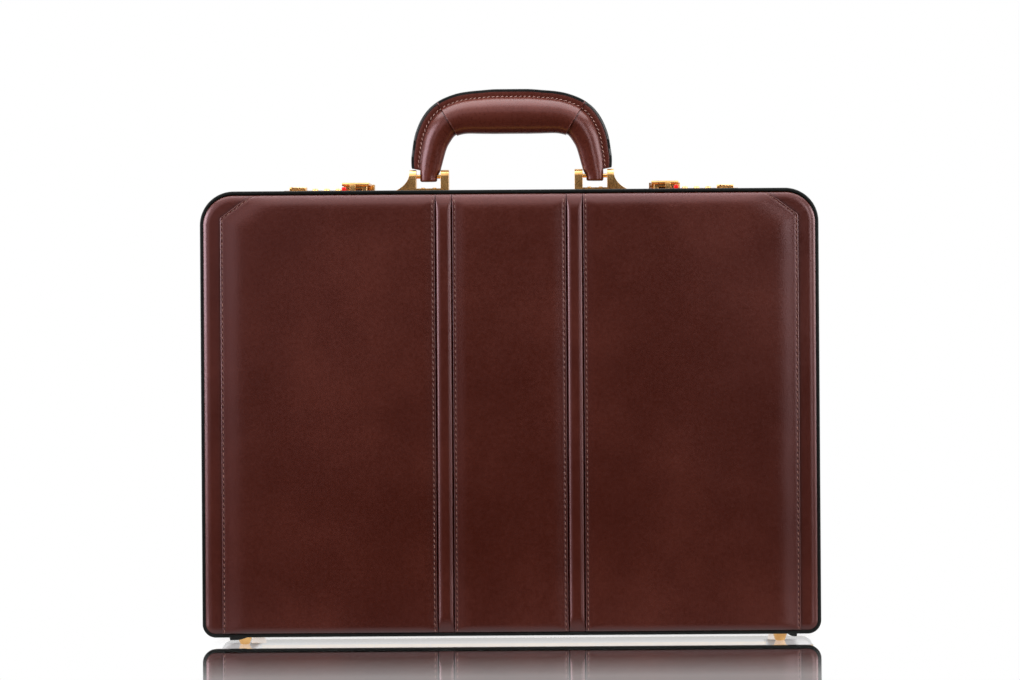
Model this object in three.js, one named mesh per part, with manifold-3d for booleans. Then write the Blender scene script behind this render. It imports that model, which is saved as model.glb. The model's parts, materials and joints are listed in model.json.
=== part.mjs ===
// A hard-sided leather attache case, standing closed on its hinge side with the handle up.
// Millimetres. +X is to the right, +Y to the back and +Z up. The origin is on the floor, under the
// middle of the case. The lid is the front half and the base is the back half.
import * as THREE from "three";
import { mergeVertices } from "three/addons/utils/BufferGeometryUtils.js";
import Module from "manifold-3d";

const wasm = await Module();
wasm.setup();

// The case as a whole
const caseWidth = 457;
const caseDepth = 112;
const bodyHeight = 329.5;
const underside = 7.7; // floor to the leather of the underside
const topCornerRadius = 25;
const bottomCornerRadius = 10;
const topCornerSteps = 7;
const bottomCornerSteps = 4;
const leastCornerRadius = 0.4;
const seamPlace = -14; // where the lid meets the base, from the middle of the depth
const seamGap = 0.4;
const seat = 0.2; // gap left between two pieces that touch
const overrun = 3; // how far a cutter reaches past what it cuts

// The layers of a wall, from the outside in
const pipingRadius = 1.4;
const pipingProud = 1.9;
const pipingSides = 8;
const leatherThickness = 1.3;
const wallBoard = 3.5;
const faceBoard = 3.2;
const liningThickness = 0.7;

// The metal frame round each mouth, with a tongue on the base and a groove in the lid
const frameLegLength = 7;
const frameWeb = 3.2;
const frameInnerLeg = 0.8;
const tongueInset = 5.2;
const tongueThickness = 1.6;
const tongueHeight = 2;
const grooveSideClearance = 0.7;
const grooveEndClearance = 0.4;

// The padded leather of each face
const padHeight = 5.6;
const panelHeight = 5.4;
const panelEdgeHeight = 1.4;
const panelShoulder = 8;
const ribHeight = 5.6;
const ribShoulder = 2.6;
const ribEdgeHeight = 3.2;
const ribWidth = 11.5;
const ribPlace = 48.35; // middle of the case to the middle of a rib
const creaseGap = 0.7; // gap between a rib and the folded edge of a panel
const stripHeight = 3.2;
const stripShoulder = 2;
const stripEdgeHeight = 1.6;
const stripWidth = 11.6; // from the edge of the face to the side seam
const mitreRun = 22.6; // how far the diagonal seam runs along the top
const mitreDrop = 17.4; // and how far it drops

// The piano hinge along the underside
const hingeMargin = 39.5; // side of the case to the end of the hinge
const hingeKnuckles = 9;
const knuckleRadius = 2;
const hingePinRadius = 1;
const hingeBoreRadius = 1.2;
const hingeLeafWidth = 12;
const hingeLeafThickness = 1.1;
const knuckleGap = 0.4;

// Feet
const footInset = 30.1; // side of the case to the middle of a foot
const footSetback = 15; // crown of a face to the middle of a foot
const footTopRadius = 6.1;
const footBottomRadius = 3.7;
const footEdge = 0.5;

// Slotted lid stays, one on each side wall
const lidOpens = 100; // degrees
const stayPivotReach = 11; // hinge axis to either pivot, along the depth
const stayEndClearance = 3; // far end of an arm to the lining of the base's face
const stayWidth = 9;
const stayThickness = 1.2;
const stayPinRadius = 1.5;
const stayHoleRadius = 1.75;
const staySlotSpare = 1.2; // how far the slot runs on past the pin at each end
const staySlotWidth = 3.5;
const stayStandOff = 0.5; // frame to arm
const stayCollarRadius = 3;
const stayHeadRadius = 3.4;
const stayHeadThickness = 0.8;

// Handle brackets
const bracketPlace = 62.9; // middle of the case to the middle of a bracket's gap
const bracketGap = 18.6;
const bracketPlate = 5.5;
const bracketDepth = 10.2;
const bracketInnerEar = 6;
const bracketOuterEar = 5;
const bracketFlare = 10.4;
const bracketFlareToe = 3.9; // thickness of the flare's outer end
const bracketFlareTurn = Math.PI * 0.3; // how far the flare turns, toe to ear
const bracketFlareSteps = 7;
const handleAxisY = 4;
const handleAxisHeight = 14.8; // leather to the pins
const handlePinRadius = 1.5;
const bracketBoreRadius = 1.65;

// Handle
const gripRise = 46.5; // pins to the middle of the grip
const tabDrop = 3.9; // pins to the lower end of a leg
const tabHalfWidth = 6.4;
const tabHalfDepth = 5.2;
const legHalfWidth = 9.8;
const legHalfDepth = 8;
const gripHalfWidth = 13.6;
const gripHalfDepth = 11.4;
const finHeight = 5.6;
const finHalfThickness = 1.8;
const finEnd = 5; // pins to where the sewn edge of the leather ends
const finLegShare = 0.68; // fin's height on a leg, as a share of its height on the grip
const sleeveThickness = 1.1;
const sleeveHalfLength = 48;
const handleBoreRadius = 1.8;
const coreThickness = 3;
const coreWidth = 7;
const coreClearance = 0.3;

// Combination locks
const lockLength = 67;
const lockGap = 15.9; // handle bracket to lock
const lockSetback = 0.8; // seam to the front edge of the lock
const lockDepth = 23.4;
const lockRise = 4; // leather to the top of the lock
const tubDrop = 4.7; // leather to the bottom of the sunken part
const tubWallInner = 0.6;
const tubHalfDepth = 6.8;
const tubStart = 22.9; // inboard end of the lock to the sunken part
const tubEndMargin = 1.5;
const tubCutClearance = 0.3;
const dialRadius = 4.8;
const dialWidth = 4.2;
const dialPitch = 8.7;
const dialStart = 27.5; // inboard end of the lock to the first dial
const dialHeight = 1.4; // leather to the dials' axis
const dialPlaceY = 15.6; // seam to the dials' axis
const dialClearance = 0.3;
const dialSides = 20;
const dialBoreRadius = 1.35;
const dialShaftRadius = 1.1;
const shaftBoreRadius = 1.3;
const shaftMargin = 1.4; // how far the shaft runs past the outer dials' slots
const thumbStart = 51.5; // inboard end of the lock to the thumb slide
const thumbLength = 12.5;
const thumbDepth = 10;
const thumbHeight = 3;
const thumbEdge = 0.8;
const thumbGroove = 0.7;
const thumbGrooves = 4;
const thumbStemLength = 4.5;
const thumbStemWidth = 3.2;
const thumbTravel = 3;
const thumbClearance = 0.4;

// Hasps and the staples that they catch
const haspStart = 1.9; // inboard end of the lock to the hasp
const haspWidth = 20.2;
const haspTop = 9; // leather to the top of the hasp
const haspThickness = 1.7;
const haspNose = 2.6; // thickness of the rolled front edge
const haspNoseSteps = 4;
const haspHookWidth = 4;
const haspHookShift = 2.2; // middle of the hasp to the middle of its hook, outwards
const haspHookDrop = 6; // top of the hasp to the tip of its hook
const haspHookThickness = 1.6;
const haspPivotY = 19.5; // seam to the hasp's axis
const haspPivotHeight = 6.6; // leather to the hasp's axis
const haspBarrelRadius = 2.4;
const haspBarrelSteps = 8;
const haspPinRadius = 1.1;
const haspBoreRadius = 1.3;
const earThickness = 1.4;
const earHalfDepth = 3;
const haspReach = 13.4; // seam to the front of the hasp
const staplePlate = 1.4;
const staplePlateStart = 1; // seam to the staple's plate
const staplePlateDepth = 15.5;
const staplePostWidth = 3.5;
const staplePostMargin = 1.8; // end of the plate to a post
const stapleDepth = 3;
const stapleHeight = 6.5; // leather to the top of the staple
const stapleBar = 1.8;
const stapleClearance = 0.4;

// Papers pocket and organiser inside the lid
const pocketMargin = 28.5; // side of the case to the side of the pocket
const pocketHeight = 215;
const pocketDepth = 18;
const pocketLeather = 2;
const pocketRise = 9; // lining to the bottom of the pocket
const organiserWidth = 236;
const organiserHeight = 84;
const organiserThickness = 2.6;
const organiserDrop = 16; // top of the pocket to the top of the organiser

// Round pieces are drawn with this many sides
const roundSides = 14;
const knuckleSides = 10;
const footSides = 20;

// Places worked out from the sizes above
const bodyBottom = underside - pipingProud;
const bodyTop = bodyBottom + bodyHeight;
const leatherTop = bodyTop - pipingProud;
const wrapInner = pipingProud + leatherThickness;
const shellOuter = wrapInner + seat;
const shellInner = shellOuter + wallBoard;
const liningOuter = shellInner + seat;
const liningInner = liningOuter + liningThickness;
const frameInner = liningInner + seat + frameInnerLeg;
const boardFace = caseDepth / 2 - padHeight - seat;
const liningFace = boardFace - faceBoard - seat;
const pipingPlaceY = boardFace - seat;
const wrapEnd = pipingPlaceY - pipingRadius - seat;
const faceEdge = pipingRadius * 2 + seat;
const hingeAxis = { y: seamPlace, z: underside - seat - knuckleRadius };
const earRadius = bracketDepth / 2; // an ear's crown is a half round across its whole depth
const handleAxis = { y: handleAxisY, z: leatherTop + handleAxisHeight };
const dialAxis = { y: seamPlace + dialPlaceY, z: leatherTop + dialHeight };
const haspAxis = { y: seamPlace + haspPivotY, z: leatherTop + haspPivotHeight };
const footPlace = { x: caseWidth / 2 - footInset, y: caseDepth / 2 - footSetback };
const bracketReach = bracketPlace + bracketGap / 2 + bracketOuterEar + bracketFlare;
const lockPlace = bracketReach + lockGap + lockLength / 2;
const hingeLength = caseWidth - 2 * hingeMargin;
const pocketWidth = caseWidth - 2 * pocketMargin;
const sides = { left: -1, right: 1 };
const halves = { lid: -1, base: 1 };

// Colours and finishes
const leather = { color: "#4a2119", roughness: 0.42, metalness: 0 };
const blackLeather = { color: "#14140f", roughness: 0.35, metalness: 0 };
const board = { color: "#a8845a", roughness: 0.8, metalness: 0 };
const suede = { color: "#7b5b41", roughness: 0.95, metalness: 0 };
const brass = { color: "#c9a15a", roughness: 0.24, metalness: 1 };
const brushedBrass = { color: "#bd9552", roughness: 0.4, metalness: 1 };
const steel = { color: "#8d8f92", roughness: 0.4, metalness: 1 };

const attacheCase = new THREE.Group();

function add(name, geometry, finish) {
  const mesh = new THREE.Mesh(geometry, new THREE.MeshStandardMaterial({ ...finish, flatShading: true }));
  mesh.name = name;
  attacheCase.add(mesh);
}

// Solids and their geometry

function toSolid(geometry) {
  const bare = geometry.clone();
  bare.deleteAttribute("normal");
  bare.deleteAttribute("uv");
  const merged = mergeVertices(bare);
  return new wasm.Manifold(
    new wasm.Mesh({
      numProp: 3,
      vertProperties: merged.attributes.position.array,
      triVerts: new Uint32Array(merged.index.array),
    }),
  );
}

function toGeometry(solid) {
  const mesh = solid.getMesh();
  return new THREE.BufferGeometry()
    .setAttribute("position", new THREE.BufferAttribute(mesh.vertProperties, mesh.numProp))
    .setIndex(new THREE.BufferAttribute(mesh.triVerts, 1));
}

function join(...geometries) {
  return toGeometry(geometries.map(toSolid).reduce((whole, piece) => whole.add(piece)));
}

function cut(body, ...tools) {
  return toGeometry(tools.map(toSolid).reduce((whole, tool) => whole.subtract(tool), toSolid(body)));
}

function common(a, b) {
  return toGeometry(toSolid(a).intersect(toSolid(b)));
}

// A box from its two ends along each axis, in either order
function block(x, y, z) {
  const size = (span) => Math.abs(span[1] - span[0]);
  const middle = (span) => (span[0] + span[1]) / 2;
  return new THREE.BoxGeometry(size(x), size(y), size(z)).translate(middle(x), middle(y), middle(z));
}

// A shape from an outline of [a, b] points in either order, with a hole if one is given
function outlineShape(outline, hole) {
  const points = outline.map(([a, b]) => new THREE.Vector2(a, b));
  const shape = new THREE.Shape(THREE.ShapeUtils.isClockWise(points) ? points.reverse() : points);
  if (hole) shape.holes.push(hole);
  return shape;
}

// An outline of [y, z] points, drawn out along X
function prismAlongX(outline, x, hole) {
  const shape = outlineShape(outline, hole);
  const turned = new THREE.Matrix4().makeBasis(
    new THREE.Vector3(0, 1, 0),
    new THREE.Vector3(0, 0, 1),
    new THREE.Vector3(1, 0, 0),
  );
  return new THREE.ExtrudeGeometry(shape, { depth: Math.abs(x[1] - x[0]), bevelEnabled: false })
    .applyMatrix4(turned)
    .translate(Math.min(...x), 0, 0);
}

// An outline of [x, z] points, drawn out along Y
function prismAlongY(outline, y) {
  const shape = outlineShape(outline);
  const turned = new THREE.Matrix4().makeBasis(
    new THREE.Vector3(1, 0, 0),
    new THREE.Vector3(0, 0, 1),
    new THREE.Vector3(0, -1, 0),
  );
  return new THREE.ExtrudeGeometry(shape, { depth: Math.abs(y[1] - y[0]), bevelEnabled: false })
    .applyMatrix4(turned)
    .translate(0, Math.max(...y), 0);
}

// A round bar along X
function rodAlongX(x, axis, radius, sideCount = roundSides) {
  return new THREE.CylinderGeometry(radius, radius, Math.abs(x[1] - x[0]), sideCount)
    .rotateZ(Math.PI / 2)
    .translate((x[0] + x[1]) / 2, axis.y, axis.z);
}

function circleHole(axis, radius, sideCount = roundSides) {
  const points = Array.from({ length: sideCount }, (_, i) => {
    const angle = (-i * Math.PI * 2) / sideCount;
    return new THREE.Vector2(axis.y + radius * Math.cos(angle), axis.z + radius * Math.sin(angle));
  });
  return new THREE.Path(points);
}

// The triangles of a flat cap over one ring, wound as the ring is
function capFaces(ring) {
  const normal = new THREE.Vector3();
  ring.forEach((point, i) => normal.add(point.clone().cross(ring[(i + 1) % ring.length])));
  const size = [Math.abs(normal.x), Math.abs(normal.y), Math.abs(normal.z)];
  const dropped = size.indexOf(Math.max(...size));
  const kept = ["x", "y", "z"].filter((axis, i) => i !== dropped);
  const flat = ring.map((point) => new THREE.Vector2(point[kept[0]], point[kept[1]]));
  const ringArea = THREE.ShapeUtils.area(flat);
  return THREE.ShapeUtils.triangulateShape(flat, []).map((face) => {
    const faceArea = THREE.ShapeUtils.area(face.map((i) => flat[i]));
    return faceArea * ringArea > 0 ? face : [face[0], face[2], face[1]];
  });
}

// Rings with the same number of points, joined into one closed surface. The two ends are capped,
// or in a loop the last ring meets the first.
function loft(rings, loop = false) {
  const count = rings[0].length;
  const triangles = [];
  for (let k = 0; k < rings.length - (loop ? 0 : 1); k++) {
    const here = k * count;
    const there = ((k + 1) % rings.length) * count;
    for (let i = 0; i < count; i++) {
      const j = (i + 1) % count;
      triangles.push([here + i, here + j, there + j], [here + i, there + j, there + i]);
    }
  }
  if (!loop) {
    const last = (rings.length - 1) * count;
    capFaces(rings[0]).forEach(([a, b, c]) => triangles.push([a, c, b]));
    capFaces(rings.at(-1)).forEach(([a, b, c]) => triangles.push([last + a, last + b, last + c]));
  }
  const points = rings.flat();
  const volume = triangles.reduce(
    (sum, [a, b, c]) => sum + points[a].dot(points[b].clone().cross(points[c])),
    0,
  );
  const facingOut = volume > 0 ? triangles : triangles.map(([a, b, c]) => [a, c, b]);
  return new THREE.BufferGeometry()
    .setAttribute("position", new THREE.Float32BufferAttribute(points.flatMap((p) => p.toArray()), 3))
    .setIndex(facingOut.flat());
}

// The outline of the case as seen from the front, drawn in by an inset, as [x, z] points
function caseOutline(inset) {
  const halfWidth = caseWidth / 2 - inset;
  const corner = (radius) => Math.max(radius - inset, leastCornerRadius);
  const top = { radius: corner(topCornerRadius), z: bodyTop - inset, up: 1, steps: topCornerSteps };
  const bottom = {
    radius: corner(bottomCornerRadius),
    z: bodyBottom + inset,
    up: -1,
    steps: bottomCornerSteps,
  };
  const turns = [
    [top, 1, 0],
    [top, -1, 1],
    [bottom, -1, 2],
    [bottom, 1, 3],
  ];
  return turns.flatMap(([end, across, quarter]) => {
    const middle = [across * (halfWidth - end.radius), end.z - end.up * end.radius];
    return Array.from({ length: end.steps + 1 }, (_, i) => {
      const angle = ((quarter + i / end.steps) * Math.PI) / 2;
      return [middle[0] + end.radius * Math.cos(angle), middle[1] + end.radius * Math.sin(angle)];
    });
  });
}

function ringAt(inset, y) {
  return caseOutline(inset).map(([x, z]) => new THREE.Vector3(x, y, z));
}

// A band that runs round the case, from the [inset, y] points of its section
function band(section) {
  return loft(
    section.map(([inset, y]) => ringAt(inset, y)),
    true,
  );
}

// An open tray: its outside, its rim and its inside
function tray(outer, inner, back, floor, rim) {
  return loft([ringAt(outer, back), ringAt(outer, rim), ringAt(inner, rim), ringAt(inner, floor)]);
}

// A polygon of [a, b] points, drawn in by a distance on every side
function drawnIn(polygon, distance) {
  const turn = Math.sign(THREE.ShapeUtils.area(polygon.map(([a, b]) => new THREE.Vector2(a, b))));
  return polygon.map((point, i) => {
    const before = polygon.at(i - 1);
    const after = polygon[(i + 1) % polygon.length];
    const inwards = (from, to) => {
      const run = Math.hypot(to[0] - from[0], to[1] - from[1]);
      return [(-turn * (to[1] - from[1])) / run, (turn * (to[0] - from[0])) / run];
    };
    const one = inwards(before, point);
    const two = inwards(point, after);
    const spread = 1 + one[0] * two[0] + one[1] * two[1];
    return [
      point[0] + (distance * (one[0] + two[0])) / spread,
      point[1] + (distance * (one[1] + two[1])) / spread,
    ];
  });
}

// A padded piece of a face, from its outline at an inset and [inset, height] steps up to its crown
function padded(outlineAt, steps, half) {
  return loft(
    steps.map(([inset, height]) =>
      outlineAt(inset).map(([x, z]) => new THREE.Vector3(x, half * (boardFace + seat + height), z)),
    ),
  );
}

// Shells, coverings, frames and linings: the same layers for the lid and for the base

const edgeShare = 0.5;
const midShare = 0.8;
const panelSteps = [
  [0, 0],
  [0, panelEdgeHeight],
  [panelShoulder * (1 - midShare), panelHeight * edgeShare],
  [panelShoulder * edgeShare, panelHeight * midShare],
  [panelShoulder, panelHeight],
];
const ribSteps = [
  [0, 0],
  [0, ribEdgeHeight],
  [ribShoulder * (1 - midShare), ribHeight * midShare],
  [ribShoulder, ribHeight],
];
const stripSteps = [
  [0, 0],
  [0, stripEdgeHeight],
  [stripShoulder * (1 - midShare), stripHeight * midShare],
  [stripShoulder, stripHeight],
];

const faceSide = caseWidth / 2 - faceEdge;
const faceTop = bodyTop - faceEdge;
const faceBottom = bodyBottom + faceEdge;
const sideSeam = faceSide - stripWidth;
const ribInner = ribPlace - ribWidth / 2;
const ribOuter = ribPlace + ribWidth / 2;

// The outer panel of a face that has a strip at its edge, with the diagonal seam at its top corner
function mitredPanelOutline(side, inset) {
  const inner = side * (ribOuter + creaseGap);
  const outer = side * sideSeam;
  return drawnIn(
    [
      [inner, faceBottom],
      [outer, faceBottom],
      [outer, faceTop - mitreDrop],
      [outer - side * mitreRun, faceTop],
      [inner, faceTop],
    ],
    inset,
  );
}

// The outer panel of a face without strips, which runs out to the case's own corners
function widePanelOutline(side, inset) {
  const inner = side * (ribOuter + creaseGap + inset);
  const corners = caseOutline(faceEdge + inset).filter(([x]) => x * side > 0);
  const upper = corners.filter(([, z]) => z > bodyTop / 2);
  const lower = corners.filter(([, z]) => z < bodyTop / 2);
  const outer = side > 0 ? [...lower, ...upper] : [...upper, ...lower].reverse();
  return [[inner, faceBottom + inset], ...outer, [inner, faceTop - inset]];
}

// The strip of leather between the side seam and the edge of the face
function stripOutline(side, inset) {
  const rounded = caseOutline(faceEdge).filter(([x]) => x * side > sideSeam - mitreRun);
  const upper = rounded.filter(([, z]) => z > bodyTop / 2);
  const lower = rounded.filter(([x, z]) => z < bodyTop / 2 && x * side > sideSeam);
  const inner = sideSeam + seat;
  const seam = [
    [side * (inner - mitreRun), faceTop],
    [side * inner, faceTop - mitreDrop],
    [side * inner, faceBottom],
  ];
  const outline = side > 0 ? [...lower, ...upper, ...seam] : [...seam.reverse(), ...upper, ...lower];
  return drawnIn(outline, inset);
}

// A piece that runs the full height of a face between two places
function uprightOutline(x, inset) {
  return drawnIn(
    [
      [x[0], faceBottom],
      [x[1], faceBottom],
      [x[1], faceTop],
      [x[0], faceTop],
    ],
    inset,
  );
}

// An arm runs from its stud to as far as the pin gets from it when the lid is open, so the height of
// both pivots follows from the room that there is for the arm when the lid is shut
const stayHalfTurn = (lidOpens * Math.PI) / 360;
const stayRoom = liningFace - liningThickness - stayEndClearance - (hingeAxis.y - stayPivotReach);
const stayPinTravel = stayRoom - stayWidth / 2 - staySlotSpare;
const stayPivotHeight = (stayPinTravel / 2 - stayPivotReach * Math.cos(stayHalfTurn)) / Math.sin(stayHalfTurn);

const stayPlate = caseWidth / 2 - frameInner - stayStandOff;
const stayAxisLid = { y: hingeAxis.y - stayPivotReach, z: hingeAxis.z + stayPivotHeight };
const stayAxisBase = { y: hingeAxis.y + stayPivotReach, z: hingeAxis.z + stayPivotHeight };

// Holes for the stays' pins through both side walls
function stayHoles(half) {
  const axis = half < 0 ? stayAxisLid : stayAxisBase;
  const reach = caseWidth / 2 - shellOuter + overrun;
  return Object.values(sides).map((side) =>
    rodAlongX([side * stayPlate, side * reach], axis, stayHoleRadius),
  );
}

const tubSpan = [lockPlace - lockLength / 2 + tubStart, lockPlace + lockLength / 2 - tubEndMargin];
const tubFloor = leatherTop - tubDrop;

// The window in the top wall that a lock's sunken part goes into
function lockWindow(side) {
  const clear = tubCutClearance;
  return block(
    [side * (tubSpan[0] - clear), side * (tubSpan[1] + clear)],
    [dialAxis.y - tubHalfDepth - clear, dialAxis.y + tubHalfDepth + clear],
    [tubFloor - clear, leatherTop + overrun],
  );
}

for (const [half, sign] of Object.entries(halves)) {
  const mouth = seamPlace + (sign * seamGap) / 2;
  const at = (distance) => mouth + sign * distance;
  const rim = at(frameWeb + seat);
  const shell = tray(shellOuter, shellInner, sign * boardFace, sign * (boardFace - faceBoard), rim);
  const lining = tray(
    liningOuter,
    liningInner,
    sign * liningFace,
    sign * (liningFace - liningThickness),
    rim,
  );
  const wrapMouth = at(frameLegLength + seat);
  const wrap = band([
    [pipingProud, sign * wrapEnd],
    [pipingProud, wrapMouth],
    [wrapInner, wrapMouth],
    [wrapInner, sign * wrapEnd],
  ]);
  const windows = sign > 0 ? Object.values(sides).map(lockWindow) : [];
  add(`${half}_shell`, cut(shell, ...stayHoles(sign), ...windows), board);
  add(`${half}_lining`, cut(lining, ...stayHoles(sign)), suede);
  add(`${half}_side_leather`, windows.length ? cut(wrap, ...windows) : wrap, leather);

  const piping = Array.from({ length: pipingSides }, (_, i) => {
    const angle = ((i + edgeShare) * Math.PI * 2) / pipingSides;
    return [
      pipingRadius * (1 + Math.cos(angle)),
      sign * (pipingPlaceY + pipingRadius * Math.sin(angle)),
    ];
  });
  add(`${half}_piping`, band(piping), blackLeather);

  const outsideOfChannel = [
    [pipingProud, mouth],
    [pipingProud, at(frameLegLength)],
    [wrapInner, at(frameLegLength)],
    [wrapInner, at(frameWeb)],
    [liningInner + seat, at(frameWeb)],
    [liningInner + seat, at(frameLegLength)],
    [frameInner, at(frameLegLength)],
    [frameInner, mouth],
  ];
  const clear = sign < 0 ? grooveSideClearance : 0;
  const tongueEnd = sign < 0 ? at(tongueHeight + grooveEndClearance) : at(-tongueHeight);
  const tongueOrGroove = [
    [tongueInset + tongueThickness + clear, mouth],
    [tongueInset + tongueThickness + clear, tongueEnd],
    [tongueInset - clear, tongueEnd],
    [tongueInset - clear, mouth],
  ];
  add(`${half}_frame`, band([...outsideOfChannel, ...tongueOrGroove]), brushedBrass);

  const middle = ribInner - creaseGap;
  const centre = (inset) => uprightOutline([-middle, middle], inset);
  add(`${half}_panel_centre`, padded(centre, panelSteps, sign), leather);
  const panelOutline = sign < 0 ? mitredPanelOutline : widePanelOutline;
  for (const [name, side] of Object.entries(sides)) {
    const panel = (inset) => panelOutline(side, inset);
    const rib = (inset) => uprightOutline([side * ribInner, side * ribOuter], inset);
    const strip = (inset) => stripOutline(side, inset);
    add(`${half}_panel_${name}`, padded(panel, panelSteps, sign), leather);
    add(`${half}_rib_${name}`, padded(rib, ribSteps, sign), leather);
    if (sign < 0) add(`${half}_edge_strip_${name}`, padded(strip, stripSteps, sign), leather);
  }
}

// Piano hinge: two leaves with alternating knuckles on one pin

function hingeLeaf(half) {
  const top = hingeAxis.z + knuckleRadius;
  const around = Array.from({ length: knuckleSides }, (_, i) => {
    const angle = Math.PI / 2 - (half * i * Math.PI * 2) / knuckleSides;
    return [
      hingeAxis.y + knuckleRadius * Math.cos(angle),
      hingeAxis.z + knuckleRadius * Math.sin(angle),
    ];
  });
  const knuckle = prismAlongX(
    around,
    [-hingeLength / 2, hingeLength / 2],
    circleHole(hingeAxis, hingeBoreRadius, knuckleSides),
  );
  const plate = block(
    [-hingeLength / 2, hingeLength / 2],
    [hingeAxis.y + half * hingeBoreRadius, hingeAxis.y + half * (hingeBoreRadius + hingeLeafWidth)],
    [top - hingeLeafThickness, top],
  );
  const bore = rodAlongX([-hingeLength, hingeLength], hingeAxis, hingeBoreRadius, knuckleSides);
  const pitch = hingeLength / hingeKnuckles;
  const reach = knuckleRadius + knuckleGap;
  const gaps = Array.from({ length: hingeKnuckles }, (_, i) => i)
    .filter((i) => (i % 2 === 0) === half < 0)
    .map((i) => {
      const start = -hingeLength / 2 + i * pitch;
      const first = i === 0 ? overrun : knuckleGap / 2;
      const last = i === hingeKnuckles - 1 ? overrun : knuckleGap / 2;
      return block(
        [start - first, start + pitch + last],
        [hingeAxis.y - reach, hingeAxis.y + reach],
        [hingeAxis.z - reach, hingeAxis.z + reach],
      );
    });
  return cut(join(knuckle, plate), bore, ...gaps);
}

add("hinge_leaf_lid", hingeLeaf(halves.lid), brushedBrass);
add("hinge_leaf_base", hingeLeaf(halves.base), brushedBrass);
add(
  "hinge_pin",
  rodAlongX([-hingeLength / 2, hingeLength / 2], hingeAxis, hingePinRadius, knuckleSides),
  steel,
);

// Feet

function foot(side, half) {
  const height = underside - seat;
  const profile = [
    [0, 0],
    [footBottomRadius - footEdge, 0],
    [footBottomRadius, footEdge],
    [footTopRadius, height],
    [0, height],
  ];
  return new THREE.LatheGeometry(
    profile.map(([r, z]) => new THREE.Vector2(r, z)),
    footSides,
  )
    .rotateX(Math.PI / 2)
    .translate(side * footPlace.x, half * footPlace.y, 0);
}

for (const [half, sign] of Object.entries(halves)) {
  for (const [name, side] of Object.entries(sides)) {
    add(`foot_${half}_${name}`, foot(side, sign), brass);
  }
}

// Lid stays: a slotted arm that turns on a stud in the lid and slides on a pin in the base

const wallOuter = caseWidth / 2 - shellOuter;
const liningSurface = caseWidth / 2 - liningInner;

// The pin is nearest to the lid's stud when the case is shut and furthest when the lid is open
const staySlotStart = 2 * stayPivotReach - staySlotSpare;
const staySlotEnd = stayPinTravel + staySlotSpare;

function stayArm(side) {
  const near = stayAxisLid.y;
  const half = stayWidth / 2;
  const far = near + staySlotEnd;
  const round = (centre, radius, start) =>
    Array.from({ length: roundSides / 2 + 1 }, (_, i) => {
      const angle = start + (i * Math.PI * 2) / roundSides;
      return [centre + radius * Math.cos(angle), stayAxisLid.z + radius * Math.sin(angle)];
    });
  const outline = [...round(far, half, -Math.PI / 2), ...round(near, half, Math.PI / 2)];
  const slot = [
    ...round(far, staySlotWidth / 2, -Math.PI / 2),
    ...round(near + staySlotStart, staySlotWidth / 2, Math.PI / 2),
  ];
  const hole = new THREE.Path(slot.map(([y, z]) => new THREE.Vector2(y, z)));
  const plate = prismAlongX(outline, [side * stayPlate, side * (stayPlate - stayThickness)], hole);
  const inside = side * (stayPlate - stayThickness / 2);
  const stud = rodAlongX([inside, side * wallOuter], stayAxisLid, stayPinRadius);
  const head = rodAlongX(
    [inside, side * (stayPlate - stayThickness - stayHeadThickness)],
    stayAxisLid,
    stayHeadRadius,
  );
  return join(plate, stud, head);
}

function stayPin(side) {
  const armInside = stayPlate - stayThickness - seat;
  const shank = rodAlongX([side * armInside, side * wallOuter], stayAxisBase, stayPinRadius);
  const collar = rodAlongX(
    [side * (stayPlate + seat), side * (liningSurface - seat)],
    stayAxisBase,
    stayCollarRadius,
  );
  const headSpan = [side * (armInside + seat / 2), side * (armInside - stayHeadThickness)];
  const narrow = common(
    rodAlongX(headSpan, stayAxisBase, stayHeadRadius),
    block([side * armInside, side * (armInside - overrun)], axisSpan(stayAxisBase.y), axisSpan(stayAxisBase.z)),
  );
  return join(shank, collar, narrow);
}

function axisSpan(middle) {
  return [middle - stayWidth, middle + stayWidth];
}

for (const [name, side] of Object.entries(sides)) {
  add(`stay_arm_${name}`, stayArm(side), brushedBrass);
  add(`stay_pin_${name}`, stayPin(side), brass);
}

// Handle brackets, each a plate with two ears that carry a pin

const gapHalf = bracketGap / 2;
const plateBottom = leatherTop + seat;
const plateTop = plateBottom + bracketPlate;
const earTop = handleAxis.z + earRadius;

function bracket(side) {
  const at = (x) => side * (bracketPlace + x);
  const outerFace = gapHalf + bracketOuterEar;
  const flareTop = handleAxis.z + earRadius / 2;
  const flareFoot = plateBottom + bracketFlareToe;
  const toeAngle = Math.PI / 2 - bracketFlareTurn;
  const flare = Array.from({ length: bracketFlareSteps + 1 }, (_, i) => {
    const angle = toeAngle + (i / bracketFlareSteps) * bracketFlareTurn;
    return [
      at(outerFace + (bracketFlare * (1 - Math.sin(angle))) / (1 - Math.sin(toeAngle))),
      flareTop - ((flareTop - flareFoot) * Math.cos(angle)) / Math.cos(toeAngle),
    ];
  });
  const outline = [
    [at(-gapHalf - bracketInnerEar), plateBottom],
    [at(outerFace + bracketFlare), plateBottom],
    ...flare,
    [at(outerFace), earTop],
    [at(gapHalf), earTop],
    [at(gapHalf), plateTop],
    [at(-gapHalf), plateTop],
    [at(-gapHalf), earTop],
    [at(-gapHalf - bracketInnerEar), earTop],
  ];
  const body = prismAlongY(outline, [handleAxis.y - bracketDepth, handleAxis.y + bracketDepth]);
  const crown = Array.from({ length: roundSides / 2 + 1 }, (_, i) => {
    const angle = (i * Math.PI * 2) / roundSides;
    return [handleAxis.y + earRadius * Math.cos(angle), handleAxis.z + earRadius * Math.sin(angle)];
  });
  const sideView = [
    [handleAxis.y - earRadius, plateBottom],
    [handleAxis.y + earRadius, plateBottom],
    ...crown,
  ];
  const reach = bracketPlace + outerFace + bracketFlare + overrun;
  const rounded = common(body, prismAlongX(sideView, [0, side * reach]));
  return cut(rounded, rodAlongX([0, side * reach], handleAxis, bracketBoreRadius));
}

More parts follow.
